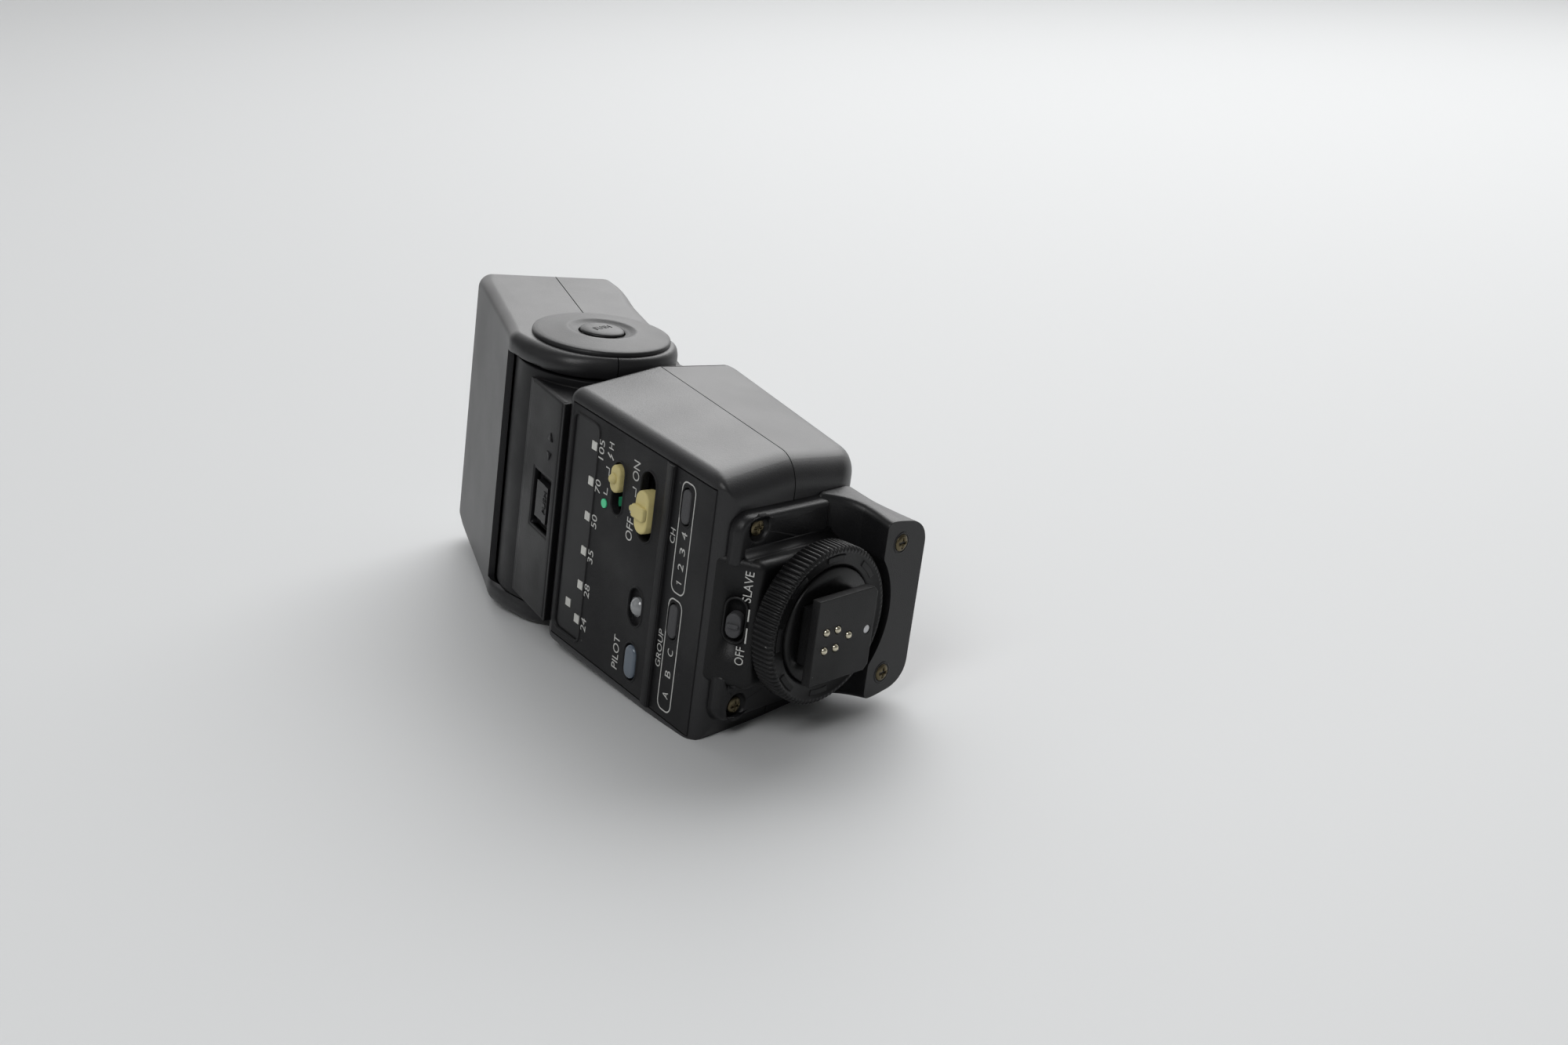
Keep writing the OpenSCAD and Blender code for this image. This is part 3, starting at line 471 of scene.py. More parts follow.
def body_ring(y, door_z):
    """One level cut of the body: a rounded four-sided ring from the right seam round the back to the left
    seam and round the front again. Gives the points, and the places of the panel's two ends, the left seam
    and the door."""
    seam, side_in = seam_x(y), inset_at(y, *SIDE_TURN)
    back, front = back_x(y) + inset_at(y, *BACK_TURN), front_x(y) - inset_at(y, *FRONT_TURN)
    back_r, front_r = max(LEAST_EDGE, BACK_EDGE - side_in), max(LEAST_EDGE, FRONT_EDGE - side_in)
    back_mid, front_mid = back + back_r, front - front_r
    back_z = half_at(back_mid, y) - side_in - back_r
    front_z = half_at(front_mid, y) - side_in - front_r

    def flank(x_from, x_to, n, side):
        """A stretch of one side: half the body's width there, less what the side draws in."""
        x = np.linspace(x_from, x_to, n)
        return np.c_[x, side * (half_at(x, y) - side_in)]

    across_back = np.linspace(back_z, -back_z, 9)[1:-1]
    across_front = np.array([-15, -7, 0, 7, 15, door_z])
    stretches = [
        flank(seam, back_mid, 7, 1)[:-1], arc(back_mid, back_z, back_r, 90, 180, 9),
        np.c_[0 * across_back + back, across_back], arc(back_mid, -back_z, back_r, 180, 270, 9),
        flank(back_mid, seam, 7, -1)[1:], flank(seam, front_mid, 6, -1)[1:-1],
        arc(front_mid, -front_z, front_r, -90, 0, 9), np.c_[0 * across_front + front, across_front],
        arc(front_mid, front_z, front_r, 0, 90, 9), flank(front_mid, seam, 6, 1)[1:]]
    ends = np.cumsum([len(stretch) for stretch in stretches])
    x, z = np.vstack(stretches).T
    return np.c_[x, np.full(len(x), y), z], ends[1] - 1, ends[2], ends[4] - 1, ends[7] - 1


quarter = np.linspace(0, math.pi / 2, 13)
heights = np.unique(np.round(np.r_[
    DECK + FRONT_TURN[0] * (1 - np.cos(quarter)), TOP - FRONT_TURN[1] * (1 - np.cos(quarter[::2])),
    PANEL_LOW, DOOR_TOP, DOOR_TOP + DOOR_GAP, PANEL_HIGH, np.linspace(28, 75, 10)], 3))


def body_part(name, body, columns, shift, door_shift, stands_for):
    """A part of the body's skin: the rings of the body between two columns, closed by flat ends. The rear
    part is open for the panel, and the front part has the door cut out."""
    room = 9 * smooth((heights - 22) / 3) * (columns == "front")
    cuts = [body_ring(y, z) for y, z in zip(heights, DOOR_Z + door_shift * (1 + room))]
    first_ring, panel_start, panel_end, left, door = cuts[0]
    end_column = len(first_ring) - 1
    first, last = {"rear": (0, left), "front": (left, end_column), "door": (door, end_column)}[columns]
    rings = np.array([cut[0] for cut in cuts])
    rings[:, [0, left, -1], 0] += shift
    rings = rings[:, first:last + 1]
    n = last - first + 1

    def keep(row, column):
        c, low, high = column + first, heights[row], heights[row + 1]
        if columns == "rear":
            behind_panel = (panel_start <= c) & (c < panel_end)
            return ~(behind_panel & (low >= PANEL_LOW - TOLERANCE) & (high <= PANEL_HIGH + TOLERANCE))
        if columns == "front":
            return (c < door) | (low >= DOOR_TOP + DOOR_GAP - TOLERANCE)
        return high <= DOOR_TOP + TOLERANCE

    faces = grid(len(rings), n, keep=keep)
    points = rings.reshape(-1, 3)
    bottom, top = caps(n, len(rings))
    if columns == "rear":
        faces += [bottom, top]
    else:
        inner_corner = len(points)
        points = np.vstack([points, [(seam_x(DECK) + shift, DECK, DOOR_Z + door_shift)]])
        up_to_door = bottom[-(door - first + 1):]
        faces += [[inner_corner, *up_to_door], top] if columns == "front" else [[inner_corner, *bottom]]
    return piece(name, points, [f[::-1] for f in faces], shell, body, thick=BODY_WALL, stands_for=stands_for)


body_part("rear_skin", "body", "rear", -SEAM_HALF, 0, ["rear_shell"])
body_part("front_skin", "body", "front", SEAM_HALF, -DOOR_SEAM, ["front_shell"])
body_part("door_skin", "battery_door", "door", SEAM_HALF, DOOR_SEAM, ["battery_door"])


def knuckle(low, high, body):
    """A round piece of the door's hinge between two heights along it: a profile turned about the hinge, with
    sloped ends."""
    r, end_r, slope = 1.04, 0.9, 0.2
    profile = [(POLE, low), (end_r, low), (r, low + slope), (r, high - slope), (end_r, high), (POLE, high)]
    return piece("knuckle", *lathe(hinge, profile, 24), shell, body)


for span in ((-26, -19.9), (-14.1, 14.1), (19.9, 26.5)):
    knuckle(*span, "battery_door")
for span in ((-19.5, -14.5), (14.5, 19.5)):
    knuckle(*span, "body")


# Head, in its own frame: a along the head from the tilt axis, p up from it and z across

# Where the lobe starts in degrees, half the gap between the head's halves, the wall, how far along the roof
# is open, and the radius and places of the front's lower and upper corners
LOBE_FROM, PART_GAP = 125, 0.12
HEAD_WALL, ROOF_OPENING = 1.5, 5.2
FRONT_R = 3.4
FRONT_LOW, FRONT_HIGH = (HEAD_REACH, -15.4), (HEAD_REACH, 18.9)
lobe_start = arc(0, 0, LOBE, LOBE_FROM, LOBE_FROM, 0)[0]
lobe_end, fork_corner = (0, -LOBE), (FORK_END, -16.3)

top_line = np.vstack([
    [(HEAD_REACH, PART_GAP)], spread((HEAD_REACH, PART_GAP), (HEAD_REACH, 15), 4),
    corner((HEAD_REACH, 0), FRONT_HIGH, ROOF, FRONT_R, 10), spread((49.5, 19), (8, 20.3), 10),
    corner(FRONT_HIGH, ROOF, lobe_start, 7, 6), spread((-1, 18.9), lobe_start, 4),
    arc(0, 0, LOBE, LOBE_FROM, 179.6, 16)])
low_line = np.vstack([
    arc(0, 0, LOBE, 180.4, 270, 24), spread(lobe_end, fork_corner, 6), [fork_corner],
    spread(fork_corner, (49.5, -15.5), 6), corner(lobe_end, FRONT_LOW, (HEAD_REACH, 0), FRONT_R, 10),
    spread((HEAD_REACH, -11.5), (HEAD_REACH, -PART_GAP), 4), [(HEAD_REACH, -PART_GAP)]])


def head_part(name, line, opening, stands_for):
    """Half of the head: its side outline drawn across the head, with the outer edges turned in by
    deep (1 - cos bend) and across by tall (1 - sin bend). Both grow at the front and below, and round the
    cheeks they pass into those of a bumper, where the wall swells. It is open over the neck and at the
    lens."""
    edge_r, front_more, below_more = 2.4, 1.0, 1.8
    bumper_low, bumper_more, bumper_deep, bumper_tall = 0.62, 1.2, 0.9, 3.0
    d = np.gradient(line, axis=0)
    normal = np.c_[d[:, 1], -d[:, 0]]
    normal /= np.linalg.norm(normal, axis=1)[:, None]
    a, p = line.T
    cheek = smooth((6 - a) / 10) * smooth((25 - p) / 8)
    swell = cheek * (bumper_low + bumper_more * smooth((p - 3) / 9))
    r = edge_r + front_more * smooth((a - 44) / 7) + below_more * smooth((42 - a) / 14) * smooth(-p / 8)
    deep, tall = r + cheek * (swell + bumper_deep - r), r + cheek * (bumper_tall - r)
    half = CHEEK - 0.2 * np.clip(a / HEAD_REACH, 0, 1)
    right = [at_height(line, FORK_HALF)]
    for bend in np.linspace(-0.66, math.pi / 2, 14):
        turned_in = deep * (1 - math.cos(bend)) * (cheek if bend < 0 else 1)
        out = line + normal * (swell - turned_in)[:, None]
        out[:, 1] = np.where(np.abs(p) < 0.2, p, out[:, 1])
        right.append(np.c_[out, np.maximum(half - tall * (1 - math.sin(bend)), FORK_HALF + 0.05)])
    rows = [row * (1, 1, -1) for row in right[::-1]] + right
    middle_row = len(right) - 1
    along = (a[:-1] + a[1:]) / 2

    def keep(row, column):
        over_neck = (row == middle_row) & (along[column] < opening)
        at_lens = (along[column] > HEAD_REACH - 0.1) & (np.abs(row - middle_row) <= 4)
        return ~(over_neck | at_lens)

    faces = grid(len(rows), len(line), keep=keep) + caps(len(line), len(rows))
    return piece(name, np.vstack([head(row) for row in rows]), faces, shell, "head", thick=HEAD_WALL,
                 stands_for=stands_for)


def drum_wall():
    """The wall behind the neck's drum: an arc round the tilt axis, then straight to the fork's end and
    down it, drawn across the head."""
    r = 19.3
    line = np.vstack([arc(0, 0, r, 74, 0, 24), spread((r, 0), (FORK_END, 0), 3),
                      [(FORK_END, -0.02), (FORK_END, -16.2)]])
    points = np.vstack([head(at_height(line, z)) for z in (-FORK_HALF, FORK_HALF)])
    return piece("drum_wall", points, grid(2, len(line)), shell, "head")


def lens():
    """The lens: a flat sheet whose outer face carries a row of fine ridges, each with one steep and one
    shallow side, that turn over at the middle line: it sinks by depth times the fraction of the pitch."""
    sunk, depth, pitch = 0.05, 0.35, 0.9
    flat = points_of(nodes["fresnel_lens"].data) / MM - head.origin
    a, p, z = (flat @ head.axes.T).T
    steps = np.linspace(p.min(), p.max(), 241)
    off = np.abs(steps - (p.min() + p.max()) / 2)
    ridges = np.c_[a.max() - sunk - depth * ((off / pitch) % 1), steps]
    points = np.vstack([head(at_height(ridges, edge)) for edge in (z.min(), z.max())])
    return piece("lens_skin", points, grid(2, len(steps)), clear, "head", thick=0.8,
                 stands_for=["fresnel_lens"], soft=False)


head_part("head_top_skin", top_line, ROOF_OPENING, ["head_top_shell"])
head_part("head_low_skin", low_line, FORK_END, ["head_bottom_shell"])
drum_wall()
lens()


# Chin and foot block

# The chin's back edges' radius, its back wall and the sweep of it up to the deck, and the radius and top of
# the room for the ring
CHIN_RIM = 1.5
CHIN_BACK, CHIN_SWEEP, SWEEP_FROM, SWEEP_HEIGHT = 14.4, 6.7, 7, 11.4
RING_ROOM, RING_ROOM_TOP = 18.7, 11.6


def flare(outline, y):
    """Widens the chin's flanks evenly from its lowest level to the deck, fading out at its front."""
    low, more, height = 1, 3.2, 14.5
    x, z = outline.T
    wide = (low + more * (y - CHIN_LOW) / height) * smooth((25 - x) / 9) * smooth((np.abs(z) - 10) / 7)
    return np.c_[x, z + np.sign(z) * wide]


def chin_ring(y):
    """One level cut of the chin: round front corners, and a back wall that sweeps from the deck in a hollow
    curve, x = back - sweep t^3, and makes room for the ring."""
    front, half, r, rim = CHIN_FRONT, CHIN_HALF, CHIN_CORNER, CHIN_RIM
    back = CHIN_BACK - CHIN_SWEEP * np.clip((y - SWEEP_FROM) / SWEEP_HEIGHT, 0, 1) ** 3
    right = np.vstack([
        arc(back + rim, half - rim, rim, 180, 90, 6), spread((back + rim, half), (front - r, half), 9),
        arc(front - r, half - r, r, 90, 0, 10), [(front, ASSIST_HALF), (front, 0)]])
    z = np.linspace(rim - half, half - rim, 62)[1:-1]
    ring_room = np.sqrt(np.maximum(RING_ROOM ** 2 - z ** 2, 0)) * (y < RING_ROOM_TOP)
    outer = np.vstack([right, right[-2::-1] * (1, -1)])
    return np.vstack([flare(outer, y), np.c_[np.maximum(back, ring_room), z]])


def chin():
    """The chin: its level cuts joined from the lowest up to the deck, open in front for the assist window."""
    levels = (CHIN_LOW, 5.4, 6.6, 8.2, 9.8, 11.5, 11.62, 12.8, 14, 15, 15.9, 16.7, 17.4, 18, 18.5, 18.9,
              19.15)
    window_row = 4
    cuts = [chin_ring(y) for y in levels]
    n = len(cuts[0])
    x, z = cuts[0].T
    window = int(np.argmax((x > CHIN_FRONT - TOLERANCE) & (np.abs(z) < ASSIST_HALF + TOLERANCE)))

    def keep(row, column):
        return ~((row >= window_row) & (column >= window) & (column <= window + 1))

    points = np.vstack([foot(at_height(cut, y)) for cut, y in zip(cuts, levels)])
    faces = grid(len(levels), n, closed=True, keep=keep) + caps(n, len(levels))
    return piece("chin", points, faces, cover, "body", bevel=0.9)


def brow():
    """The chin's upper part in front of the body: its outline carried up and leaned back to the body's
    front, open in front for the assist window."""
    front, half, r, back = CHIN_FRONT, CHIN_HALF, CHIN_CORNER, 14.85
    low, shoulder, tip = 19.0, 27.2, 31
    window_first, window_last = 9, 11
    line = np.vstack([
        [(back, -half)], arc(front - r, r - half, r, -90, 0, 8),
        [(front, -ASSIST_HALF), (front, 0), (front, ASSIST_HALF)],
        arc(front - r, half - r, r, 0, 90, 8), [(back, half)]])
    n = len(line)
    points = np.vstack([foot(at_height(line, y)) for y in (low, shoulder, tip)])
    points[2 * n:, 0] = np.minimum(points[2 * n:, 0], front_x(tip) - 0.1)

    def keep(row, column):
        return ~((row == 0) & (column >= window_first) & (column <= window_last))

    return piece("brow", points, grid(3, n, keep=keep), shell, "body", bevel=1.1)


def deck_pad(side):
    """A flat pad under the deck: rings from its edge over a round rim to the pocket of its screw."""
    edge = dense(rounded([(-17.5, 12), (9.6, 12), (9.6, 22), (-17.5, 22.7)], [0.8, 0.8, 1.2, 3.4]))
    rim = ((-0.5, 19.2), (0, 17.9), (0.1, 17.3), (0.35, 16.85), (0.7, 16.67), (1.1, 16.6))
    pocket = ((3.3, 16.6), (3.0, 16.68), (2.85, 16.9), (2.8, 18.15), (POLE, 18.15))
    rings = inset_rings(edge, rim)
    rings += [(toward(edge, PAD_SCREW, lambda d: np.full(len(d), r)), y) for r, y in pocket]
    return piece("deck_pad", *stacked(foot, [(ring * (1, side), y) for ring, y in rings]), cover, "body")


def root(side):
    """A hollow fillet where the block's flank rises from the pad: a quarter round drawn out forwards."""
    profile = np.vstack([[(13.4, 17), (15.9, 17)], arc(15.9, 14.9, 1.7, 90, 180, 8), [(13.4, 14.6)]])
    across = Place((0, 0, 0), (0, 0, side), (0, 1, 0), (1, 0, 0))
    return piece("root", *prism(across, profile, -15.6, 11), cover, "body")


def foot_block():
    """The block behind the ring: rings from the slave switch's slot over the leaning back face and its round
    edges, then straight forwards under the body."""
    half, low, high, r, back, under = 14.1, 0.05, 11.6, 1.9, -1.6, 10
    edge = dense(box_line(-half, half, low, high, r, 7), 0.9)
    slot = toward(edge, SLAVE_AT, slot_reach(*SLAVE_SLOT))
    rings = [(slot, -1.4), (slot, -0.1)]
    rings += inset_rings(edge, ((1.6, 0), (1.0, -0.1), (0.5, -0.42), (0.15, -0.95), (0, back)))
    points, faces = stacked(block, rings, last=False)
    far = block(at_height(edge, back))
    far[:, 0] = under
    ring = np.arange(len(edge)) + len(points)
    faces += band(ring - len(edge), ring) + [ring.tolist()]
    return piece("foot_block", np.vstack([points, far]), faces, foot_black, "body", stands_for=["foot_base"])


def boss():
    """The round boss inside the ring: rings from a sunk rectangle round the shoe plate's stem, whose edge
    lies at 1 / max(|u| / half length, |v| / half width), out to a circle and up."""
    radius, stem_at, stem_halves = 12.6, (-0.5, 0), (7.5, 5.7)
    edge = arc(0, 0, radius, 0, 360, 96)[:-1]
    stem = toward(edge, stem_at, lambda d: 1 / np.max(np.abs(d) / stem_halves, axis=1))
    rings = [(stem, 8), (stem, 5.4), (edge * 0.985, 5.4), (edge, 5.6), (edge, 11.45)]
    return piece("boss", *stacked(foot, rings), ring_black, "body")


def screw(x, y, z, stands_for=()):
    """A round head with a cross recess: over a polar grid its height is a dome, 1 - (r / R)^4, less a groove
    along each arm."""
    radius, dome_high, groove, skirt, turned_by = 1.85, 0.42, 0.5, 0.5, 0.35
    arm_half, arm_soft, arm_long, end_soft = 0.36, 0.12, 1.3, 0.2
    rows, n = 28, 72
    r = np.linspace(0.002, radius, rows)[:, None]
    a = np.linspace(0, 2 * math.pi, n, endpoint=False) + turned_by
    u, v = r * np.cos(a), r * np.sin(a)

    def arm(p, q):
        return smooth((arm_half - np.abs(p)) / arm_soft) * smooth((arm_long - np.abs(q)) / end_soft)

    h = dome_high * (1 - (r / radius) ** 4) - groove * np.maximum(arm(u, v), arm(v, u))
    top = np.c_[u.ravel(), v.ravel(), h.ravel()]
    rim = at_height(np.c_[u[-1], v[-1]], -skirt)
    points = downward((x, y, z))(np.vstack([top, rim]))
    faces = grid(rows + 1, n, closed=True) + caps(n, rows + 1)
    return piece("screw", points, faces, brass, "body", stands_for=stands_for)


def painted_screw_shade(x, y, z):
    """A shallow dark rim round a screw of the chin, painted shade for the shadow in its countersink: a low
    profile turned about the screw's axis.
    """
    profile = [(2.5, -0.3), (2.5, 0.03), (2.3, 0.06), (1.8, 0.03), (1.8, -0.3)]
    return piece("painted_screw_shade", *lathe(downward((x, y, z)), profile, 48, loop=True), window_black, "body")


chin()
brow()
for hand in (-1, 1):
    deck_pad(hand)
    root(hand)
foot_block()
boss()
screw(PAD_SCREW[0], 17.3, PAD_SCREW[1], ["foot_screws"])
screw(PAD_SCREW[0], 17.3, -PAD_SCREW[1])
# Each chin screw, with a dark ring of painted shade round it for its countersink's shadow
for hand in (-1, 1):
    screw(CHIN_SCREW[0], CHIN_LOW - 0.08, hand * CHIN_SCREW[1])
    painted_screw_shade(CHIN_SCREW[0], CHIN_LOW, hand * CHIN_SCREW[1])


# Lock ring

# The teeth's number and depth, the ring's profile of radius and height, and the radius past which it has
# teeth
RING_TEETH, TOOTH_DEPTH = 90, 0.62
RING_PROFILE = [(12.75, 10.9), (12.75, 6.3), (13.5, 5.6), (15.7, 5.55), (15.9, 5.2), (16.6, 5.12),
                (17.0, 5.4), (17.3, 5.8), (17.3, 10.2), (17.0, 10.7), (16.5, 11.0), (12.75, 10.95)]
TOOTHED_FROM = 16.99


def knurl(turn):
    """The depth of the ring's teeth round a turn: a softened cosine wave on its outer rows, and none
    elsewhere."""
    toothed = np.array([[r > TOOTHED_FROM] for r, _ in RING_PROFILE])
    return TOOTH_DEPTH * toothed * smooth(1.6 * (0.5 - 0.5 * np.cos(RING_TEETH * turn)) - 0.25)


def ring_mark(middle):
    """A raised stretch on the lock ring's face: an arc there and a wider arc back, drawn out a little."""
    start, end = middle - 10, middle + 10
    outline = np.vstack([arc(0, 0, 14.1, start, end, 10), arc(0, 0, 15.4, end, start, 10)])
    return piece("ring_mark", *prism(foot, outline, 5.44, 5.7), foot_black, "lock_ring", bevel=0.06)


piece("ring_skin", *lathe(foot, RING_PROFILE, 10 * RING_TEETH, knurl, loop=True), ring_black, "lock_ring",
      stands_for=["lock_ring"])
for middle in range(0, 360, 45):
    ring_mark(middle)


# Round covers and tilt button

# Profiles of radius and distance from the head's middle
DISC = [(15.9, 32.2), (15.9, 33.5), (15.75, 33.85), (15.3, 34.05), (14.2, 34.2), (11.5, 34.55),
        (9.0, 34.85), (8.3, 34.95), (7.9, 34.94), (7.5, 34.8), (6.9, 34.5), (6.2, 34.3), (5.5, 34.22),
        (5.35, 34.1), (5.35, 33)]
LEFT_BOSS = [(5.35, 32.6), (5.35, 34.3), (5.1, 34.7), (4.5, 34.95), (3.2, 35.15), (1.5, 35.24),
             (POLE, 35.26)]
TILT_TOP = 35.2
TILT_BUTTON = [(5.08, 34.12), (5.08, 34.4), (4.95, 34.65), (4.6, 34.84), (3.6, 35.05), (2, 35.17),
               (POLE, TILT_TOP)]
for disc, hand in (("right_disc", 1), ("left_disc", -1)):
    piece(disc + "_skin", *lathe(cheek_place(hand), DISC, loop=True), cover, "head", stands_for=[disc])
piece("left_boss_skin", *lathe(cheek_place(-1), LEFT_BOSS), cover, "head")
piece("tilt_button_skin", *lathe(cheek_place(1), TILT_BUTTON), cover, "tilt_button",
      stands_for=["tilt_button"])


# Switches, buttons and the panel's relief

# Places on the panel, across it and up it, and half its width
POWER_AT, SYNC_AT, PILOT_AT = (13.6, 27.6), (16.9, 39.1), (-20.5, 27.2)
CHANNEL_AT, GROUP_AT = (20.1, 13), (-5.2, 13)
PANEL_HALF = 27.06


def pad(name, place, outline, w_from, w_to, finish, body, edge, stands_for=()):
    """A flat outline drawn out from w_from to w_to, with its edges rounded."""
    return piece(name, *prism(place, outline, w_from, w_to), finish, body, bevel=edge, stands_for=stands_for,
                 segments=4)


def lip(name, place, at, length, width, finish=panel_black):
    """A low rim round a slot with round ends: the slot's outline grown step by step, each at its height."""
    high, wide = 0.22, 0.5
    steps = [(wide, 0.0), (wide * 0.7, high * 0.8), (wide * 0.35, high), (0.05, high * 0.6), (0.0, -0.8)]
    rings = [(stadium(*at, length + 2 * d, width + 2 * d), h) for d, h in steps]
    return piece(name, *stacked(place, rings, False, False), finish, "body")


def window_rim():
    """A thin raised frame round the display window: its outline moved inwards step by step."""
    outline = dense(box_line(-25.6, 25.6, 48.1, 59.7, 2.2))
    steps = ((0, -0.4), (0, 0.12), (0.12, 0.2), (0.38, 0.2), (0.55, 0.1), (0.6, -0.4))
    rings = inset_rings(outline, steps)
    return piece("window_rim", *stacked(panel, rings, False, False), panel_black, "body")


def panel_step():
    """The ridge across the panel: its profile drawn out from side to side."""
    across, up, out = panel.axes
    profile = [(21.8, -0.2), (21.8, 0.05), (20.2, 0.92), (18.5, 0.98), (18.0, 0.6), (18.0, -0.2)]
    sideways = prism(Place(panel.origin, up, out, across), profile, -PANEL_HALF, PANEL_HALF)
    return piece("panel_step", *sideways, panel_black, "body", bevel=0.3)


def sync_nub():
    """A small round point on the sync switch: a profile turned about a line straight out of the panel."""
    profile = [(1.25, 1.0), (1.1, 1.6), (0.8, 2.1), (0.4, 2.35), (POLE, 2.4)]
    place = Place(panel([(SYNC_AT[0], SYNC_AT[1] + 0.2, 0)])[0], *panel.axes)
    return piece("sync_nub", *lathe(place, profile, 32), cream, "sync_switch")


pad("power_knob", panel, stadium(*POWER_AT, 9.6, 4.8), -2, 1.5, cream, "power_switch", 0.55, ["power_switch"])
pad("power_ridge", panel, box_line(12.1, 15.1, 25.3, 29.9, 0.6), 1, 2.5, cream, "power_switch", 0.5)
pad("power_nub", panel, box_line(12.9, 14.3, 29, 31.1, 0.6), 0.5, 2.2, cream, "power_switch", 0.35)
pad("sync_knob", panel, stadium(*SYNC_AT, 6.2, 3.6), -2, 1.3, cream, "sync_switch", 0.55, ["sync_switch"])
sync_nub()
pad("pilot_cap", panel, stadium(*PILOT_AT, 7.7, 4.1), -1.5, 0.5, blue_grey, "pilot_button", 0.7,
    ["pilot_button"])
for button, at in (("channel", CHANNEL_AT), ("group", GROUP_AT)):
    pad(button + "_cap", panel, stadium(*at, 7.5, 2.95), -1.5, 0.42, rubber, button + "_button", 0.35,
        [button + "_button"])
pad("slave_knob", block, stadium(-0.1, 5.2, 5.4, 3.3), -1.6, 1.0, rubber, "slave_switch", 0.4,
    ["slave_switch"])
pad("slave_ridge", block, box_line(-0.6, 0.4, 3.9, 6.5, 0.3), 0.5, 1.5, rubber, "slave_switch", 0.25)
window_rim()
panel_step()
for slot, at, length, width in (
        ("sync", (14.6, 39.1), 11.6, 4.2), ("power", (14.7, 27.6), 15.4, 5.6),
        ("ready", (-8, 27.6), 8.4, 5.0), ("pilot", PILOT_AT, 8.4, 4.8),
        ("channel", CHANNEL_AT, 8.2, 3.6), ("group", GROUP_AT, 8.2, 3.6)):
    lip(slot + "_lip", panel, at, length, width)
lip("slave_lip", block, SLAVE_AT, *SLAVE_SLOT, finish=foot_black)


# Print

# The heights on the panel of the zoom numbers, the buttons' names and the buttons' choices
ZOOM_ROW, NAME_ROW, CHOICE_ROW = 47.1, 16.85, 12.7


def label(text, place, u, v, wide, high, w=PRINT, finish=ink, body="body", thick=0.0):
    """Letters as a mesh, flat or of a thickness: u is the middle along the line and v the middle of the
    height, both in the place's frame."""
    curve = bpy.data.curves.new(text, "FONT")
    curve.body = text
    curve.resolution_u = 4
    curve.extrude = 0.05 if thick else 0
    written = bpy.data.objects.new(text, curve)
    bpy.context.collection.objects.link(written)
    graph = bpy.context.evaluated_depsgraph_get()
    mesh = bpy.data.meshes.new_from_object(written.evaluated_get(graph))
    bpy.data.objects.remove(written)
    letters = points_of(mesh)
    faces = [list(polygon.vertices) for polygon in mesh.polygons]
    bpy.data.meshes.remove(mesh)
    least, most = letters.min(0), letters.max(0)
    share = (letters - (least + most) / 2) / np.maximum(most - least, 1e-6)
    points = place(share * (wide, high, thick) + (u, v, w))
    return piece("print_" + text, points, faces, finish, body, soft=False)


def stroke(name, place, path, wide, closed=False):
    """A printed line of one width along a path: its points moved half the width to either side, along the
    normal of the line between their neighbours."""
    p = np.asarray(path, float)
    start, end = (p[-1:], p[:1]) if closed else (2 * p[:1] - p[1:2], 2 * p[-1:] - p[-2:-1])
    q = np.vstack([start, p, end])
    d = q[2:] - q[:-2]
    d /= np.linalg.norm(d, axis=1)[:, None]
    n = np.c_[-d[:, 1], d[:, 0]] * wide / 2
    points = place(at_height(np.vstack([p + n, p - n]), PRINT))
    return piece(name, points, grid(2, len(p), closed=closed), ink, "body", soft=False)


def elbow(name, place, u, u_end, v, v_end, wide):
    """A printed line along u that turns up at its end, as beside a switch's two settings."""
    return stroke(name, place, [(u, v), (u_end, v), (u_end, v_end)], wide)


for word, u in (("105", 20.6), ("70", 12.2), ("50", 4.1), ("35", -4.1), ("28", -12.2), ("24", -20.2)):
    label(word, panel, u, ZOOM_ROW, 4.3 if len(word) == 3 else 3.0, 2.1)
for word, u, v, wide, high in (
        ("ON", 20.8, 32.8, 4.4, 2.5), ("OFF", 7.6, 33.1, 5.0, 2.5), ("PILOT", -20.7, 33.1, 7.6, 2.3),
        ("CH", 12.4, NAME_ROW, 3.2, 1.8), ("GROUP", -12.8, NAME_ROW, 8.4, 1.8)):
    label(word, panel, u, v, wide, high)
for word, u in (("4", 13.9), ("3", 10.4), ("2", 7.0), ("C", -12.2), ("B", -17.0), ("A", -21.8)):
    label(word, panel, u, CHOICE_ROW, 1.5, 2.0)
stroke("print_1", panel, [(3.1, 13.2), (3.6, 13.6), (3.6, 11.7)], 0.26)
label("H", panel, 22.7, 43.3, 1.5, 1.9)
stroke("bolt", panel, [(20.9, 44.5), (20.1, 43.2), (20.8, 43.3), (19.9, 42.0)], 0.4)
elbow("sync_on", panel, 16.0, 17.6, 43.2, 44.6, 0.32)
elbow("sync_off", panel, 13.2, 11.7, 43.2, 44.6, 0.32)
elbow("power_on", panel, 15.2, 17.0, 32.2, 33.6, 0.34)
elbow("power_off", panel, 13.2, 11.4, 32.2, 33.6, 0.34)
stroke("channel_frame", panel, box_line(1.1, 25.2, 10.4, 15.3, 1.7), 0.3, closed=True)
stroke("group_frame", panel, box_line(-25.4, -0.4, 10.4, 15.3, 1.7), 0.3, closed=True)
label("SLAVE", block, 8.6, 3.3, 6.6, 1.9)
label("OFF", block, -6.6, 3.3, 4.0, 1.9)
elbow("slave_on", block, 3.9, 1.3, 2.45, 3.0, 0.32)
elbow("slave_off", block, -3.6, -0.3, 2.45, 3.0, 0.32)
label("PUSH", cheek_place(1), 0, 0, 4.6, 1.7, w=TILT_TOP, finish=cover, body="tilt_button", thick=0.12)


# Neck

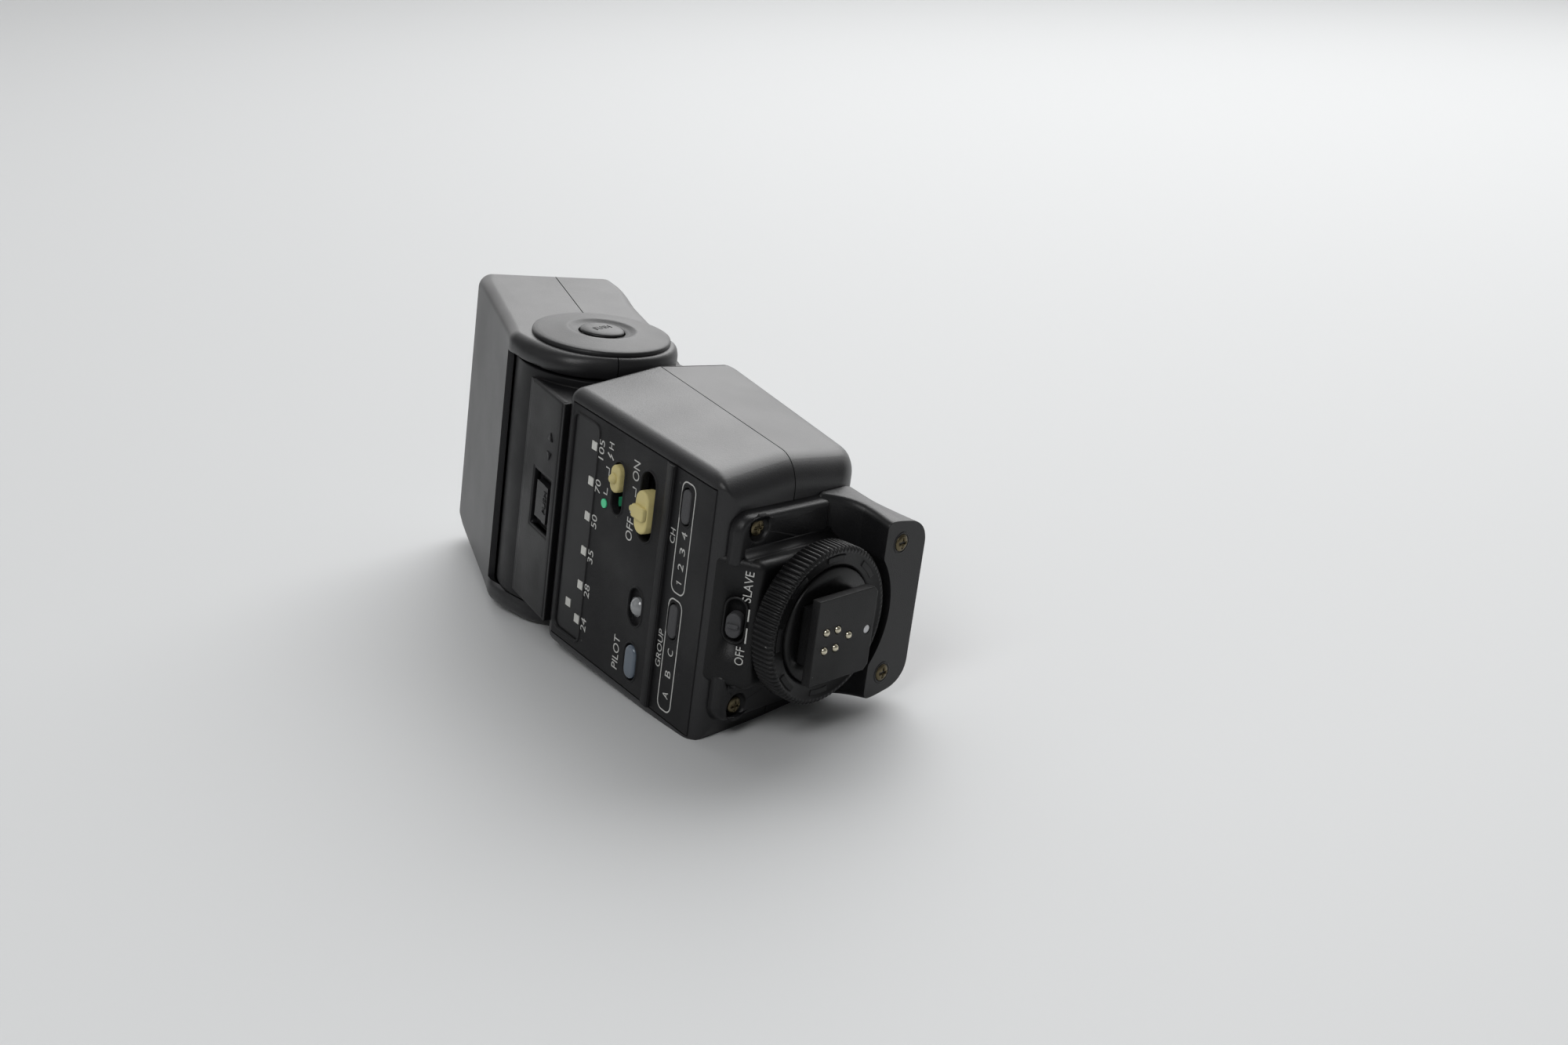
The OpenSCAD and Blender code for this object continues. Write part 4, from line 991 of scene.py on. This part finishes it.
def pillar():
    """The raised pad on the neck's back: a four by four net of points without its middle, which is the well,
    and walls round both."""
    across, up = (-25.9, -6.6, 6.6, 25.9), (0.6, 3.2, 12.8, 18.8)
    proud, wall_deep, well_deep = 0.15, 1.3, 1.8
    u, v = np.meshgrid(across, up)
    top = at_height(np.c_[u.ravel(), v.ravel()], proud)
    rim = np.array([0, 1, 2, 3, 7, 11, 15, 14, 13, 12, 8, 4])
    well = np.array([5, 6, 10, 9])
    points = np.vstack([top, top[rim] - (0, 0, wall_deep), top[well] - (0, 0, well_deep)])
    under_rim = np.arange(len(rim)) + len(top)
    faces = grid(4, 4, keep=lambda row, column: ~((row == 1) & (column == 1)))
    faces += band(rim, under_rim) + band(well, np.arange(len(well)) + len(top) + len(rim))
    return piece("pillar", neck(points), faces, neck_black, "neck", bevel=0.8)


def arrow(way):
    """A raised arrowhead that points to one side, beside the swivel button: a triangle drawn out a little."""
    u, v, tip, base = 14, 5.6, 3.2, 1.4
    outline = [(u + way * tip, v), (u + way * base, v + 1.3), (u + way * base, v - 1.2)]
    return pad("arrow", neck, outline[::way], 0.1, 0.32, neck_black, "neck", 0)


pillar()
label("PUSH", neck, 0.5, 6.0, 5.2, 1.5, w=0.08, finish=neck_black, body="swivel_button", thick=0.14)
for way in (-1, 1):
    arrow(way)


# Camera, floor and light, in metres

# The camera's place, and its right, up and backward directions
CAMERA_AT = (-0.3471, -0.2721, 0.1831)
CAMERA_AXES = Matrix(((0.67426, -0.72756, 0.12659), (0.17273, 0.32203, 0.93085),
                      (-0.71801, -0.60578, 0.34281)))
# The floor's upward direction, its middle, half its side and the gap under the lowest point
FLOOR_UP, FLOOR_MIDDLE = Vector((-0.08, 0.10, 0.99)).normalized(), Vector((0.02, 0.07, 0))
FLOOR_HALF, FLOOR_GAP = 6, 0.0001
# The side from which the world is brightest, and how bright it is away from there and there
BRIGHT_SIDE, SKY_DIM, SKY_BRIGHT = (0.68, 0.62, 0.39), 0.15, 1.55

scene = bpy.context.scene
scene.view_settings.view_transform = "Standard"
camera_data = bpy.data.cameras.new("camera")
camera_data.lens = 54
camera_data.sensor_width = 36
camera_data.clip_start = 0.01
camera = bpy.data.objects.new("camera", camera_data)
camera.matrix_world = Matrix.Translation(CAMERA_AT) @ CAMERA_AXES.transposed().to_4x4()
bpy.context.collection.objects.link(camera)
scene.camera = camera

lowest = min((points_of(o.data) @ np.array(FLOOR_UP)).min() for o in nodes.values())
floor_side = FLOOR_UP.cross(Vector((0, 1, 0))).normalized()
floor_ahead = FLOOR_UP.cross(floor_side)
floor_at = FLOOR_UP * (lowest - FLOOR_GAP) + FLOOR_MIDDLE
floor_corners = [floor_at + floor_side * a * FLOOR_HALF + floor_ahead * b * FLOOR_HALF
                 for a, b in ((-1, -1), (1, -1), (1, 1), (-1, 1))]
floor_mesh = bpy.data.meshes.new("floor")
floor_mesh.from_pydata([tuple(c) for c in floor_corners], [], [(0, 1, 2, 3)])
floor_mesh.materials.append(plain_material("floor", (0.66, 0.67, 0.675), 0.6)[0])
floor = bpy.data.objects.new("floor", floor_mesh)
bpy.context.collection.objects.link(floor)


def soft_light(name, at, facing, size, power):
    """A square soft light that faces a point."""
    light = bpy.data.lights.new(name, "AREA")
    light.size = size
    light.energy = power
    made = bpy.data.objects.new(name, light)
    made.location = at
    made.rotation_euler = (Vector(facing) - Vector(at)).to_track_quat("-Z", "Y").to_euler()
    bpy.context.collection.objects.link(made)


soft_light("top", (0.80, 0.48, 0.82), (0.02, 0.07, 0), 1.0, 8)
soft_light("left", (-0.80, 0.70, 0.35), (0.02, 0.09, 0.02), 0.6, 0.35)
soft_light("front", (-0.80, -0.15, 0.80), (0.02, 0.05, 0), 0.5, 4)

studio = bpy.data.worlds.new("studio")
scene.world = studio
studio.use_nodes = True
sky_tree = studio.node_tree
sky = sky_tree.nodes["Background"]
sky.inputs["Strength"].default_value = 1.0
look = add_node(sky_tree, "TexCoord").outputs["Generated"]
nearness = add_node(sky_tree, "VectorMath", {"operation": "DOT_PRODUCT"}, {1: BRIGHT_SIDE}, {0: look})
glow = add_node(sky_tree, "MapRange", {"interpolation_type": "SMOOTHSTEP"},
                {"From Min": 0.45, "From Max": 1.0, "To Min": SKY_DIM, "To Max": SKY_BRIGHT},
                {"Value": nearness.outputs["Value"]})
sky_tree.links.new(glow.outputs["Result"], sky.inputs["Color"])
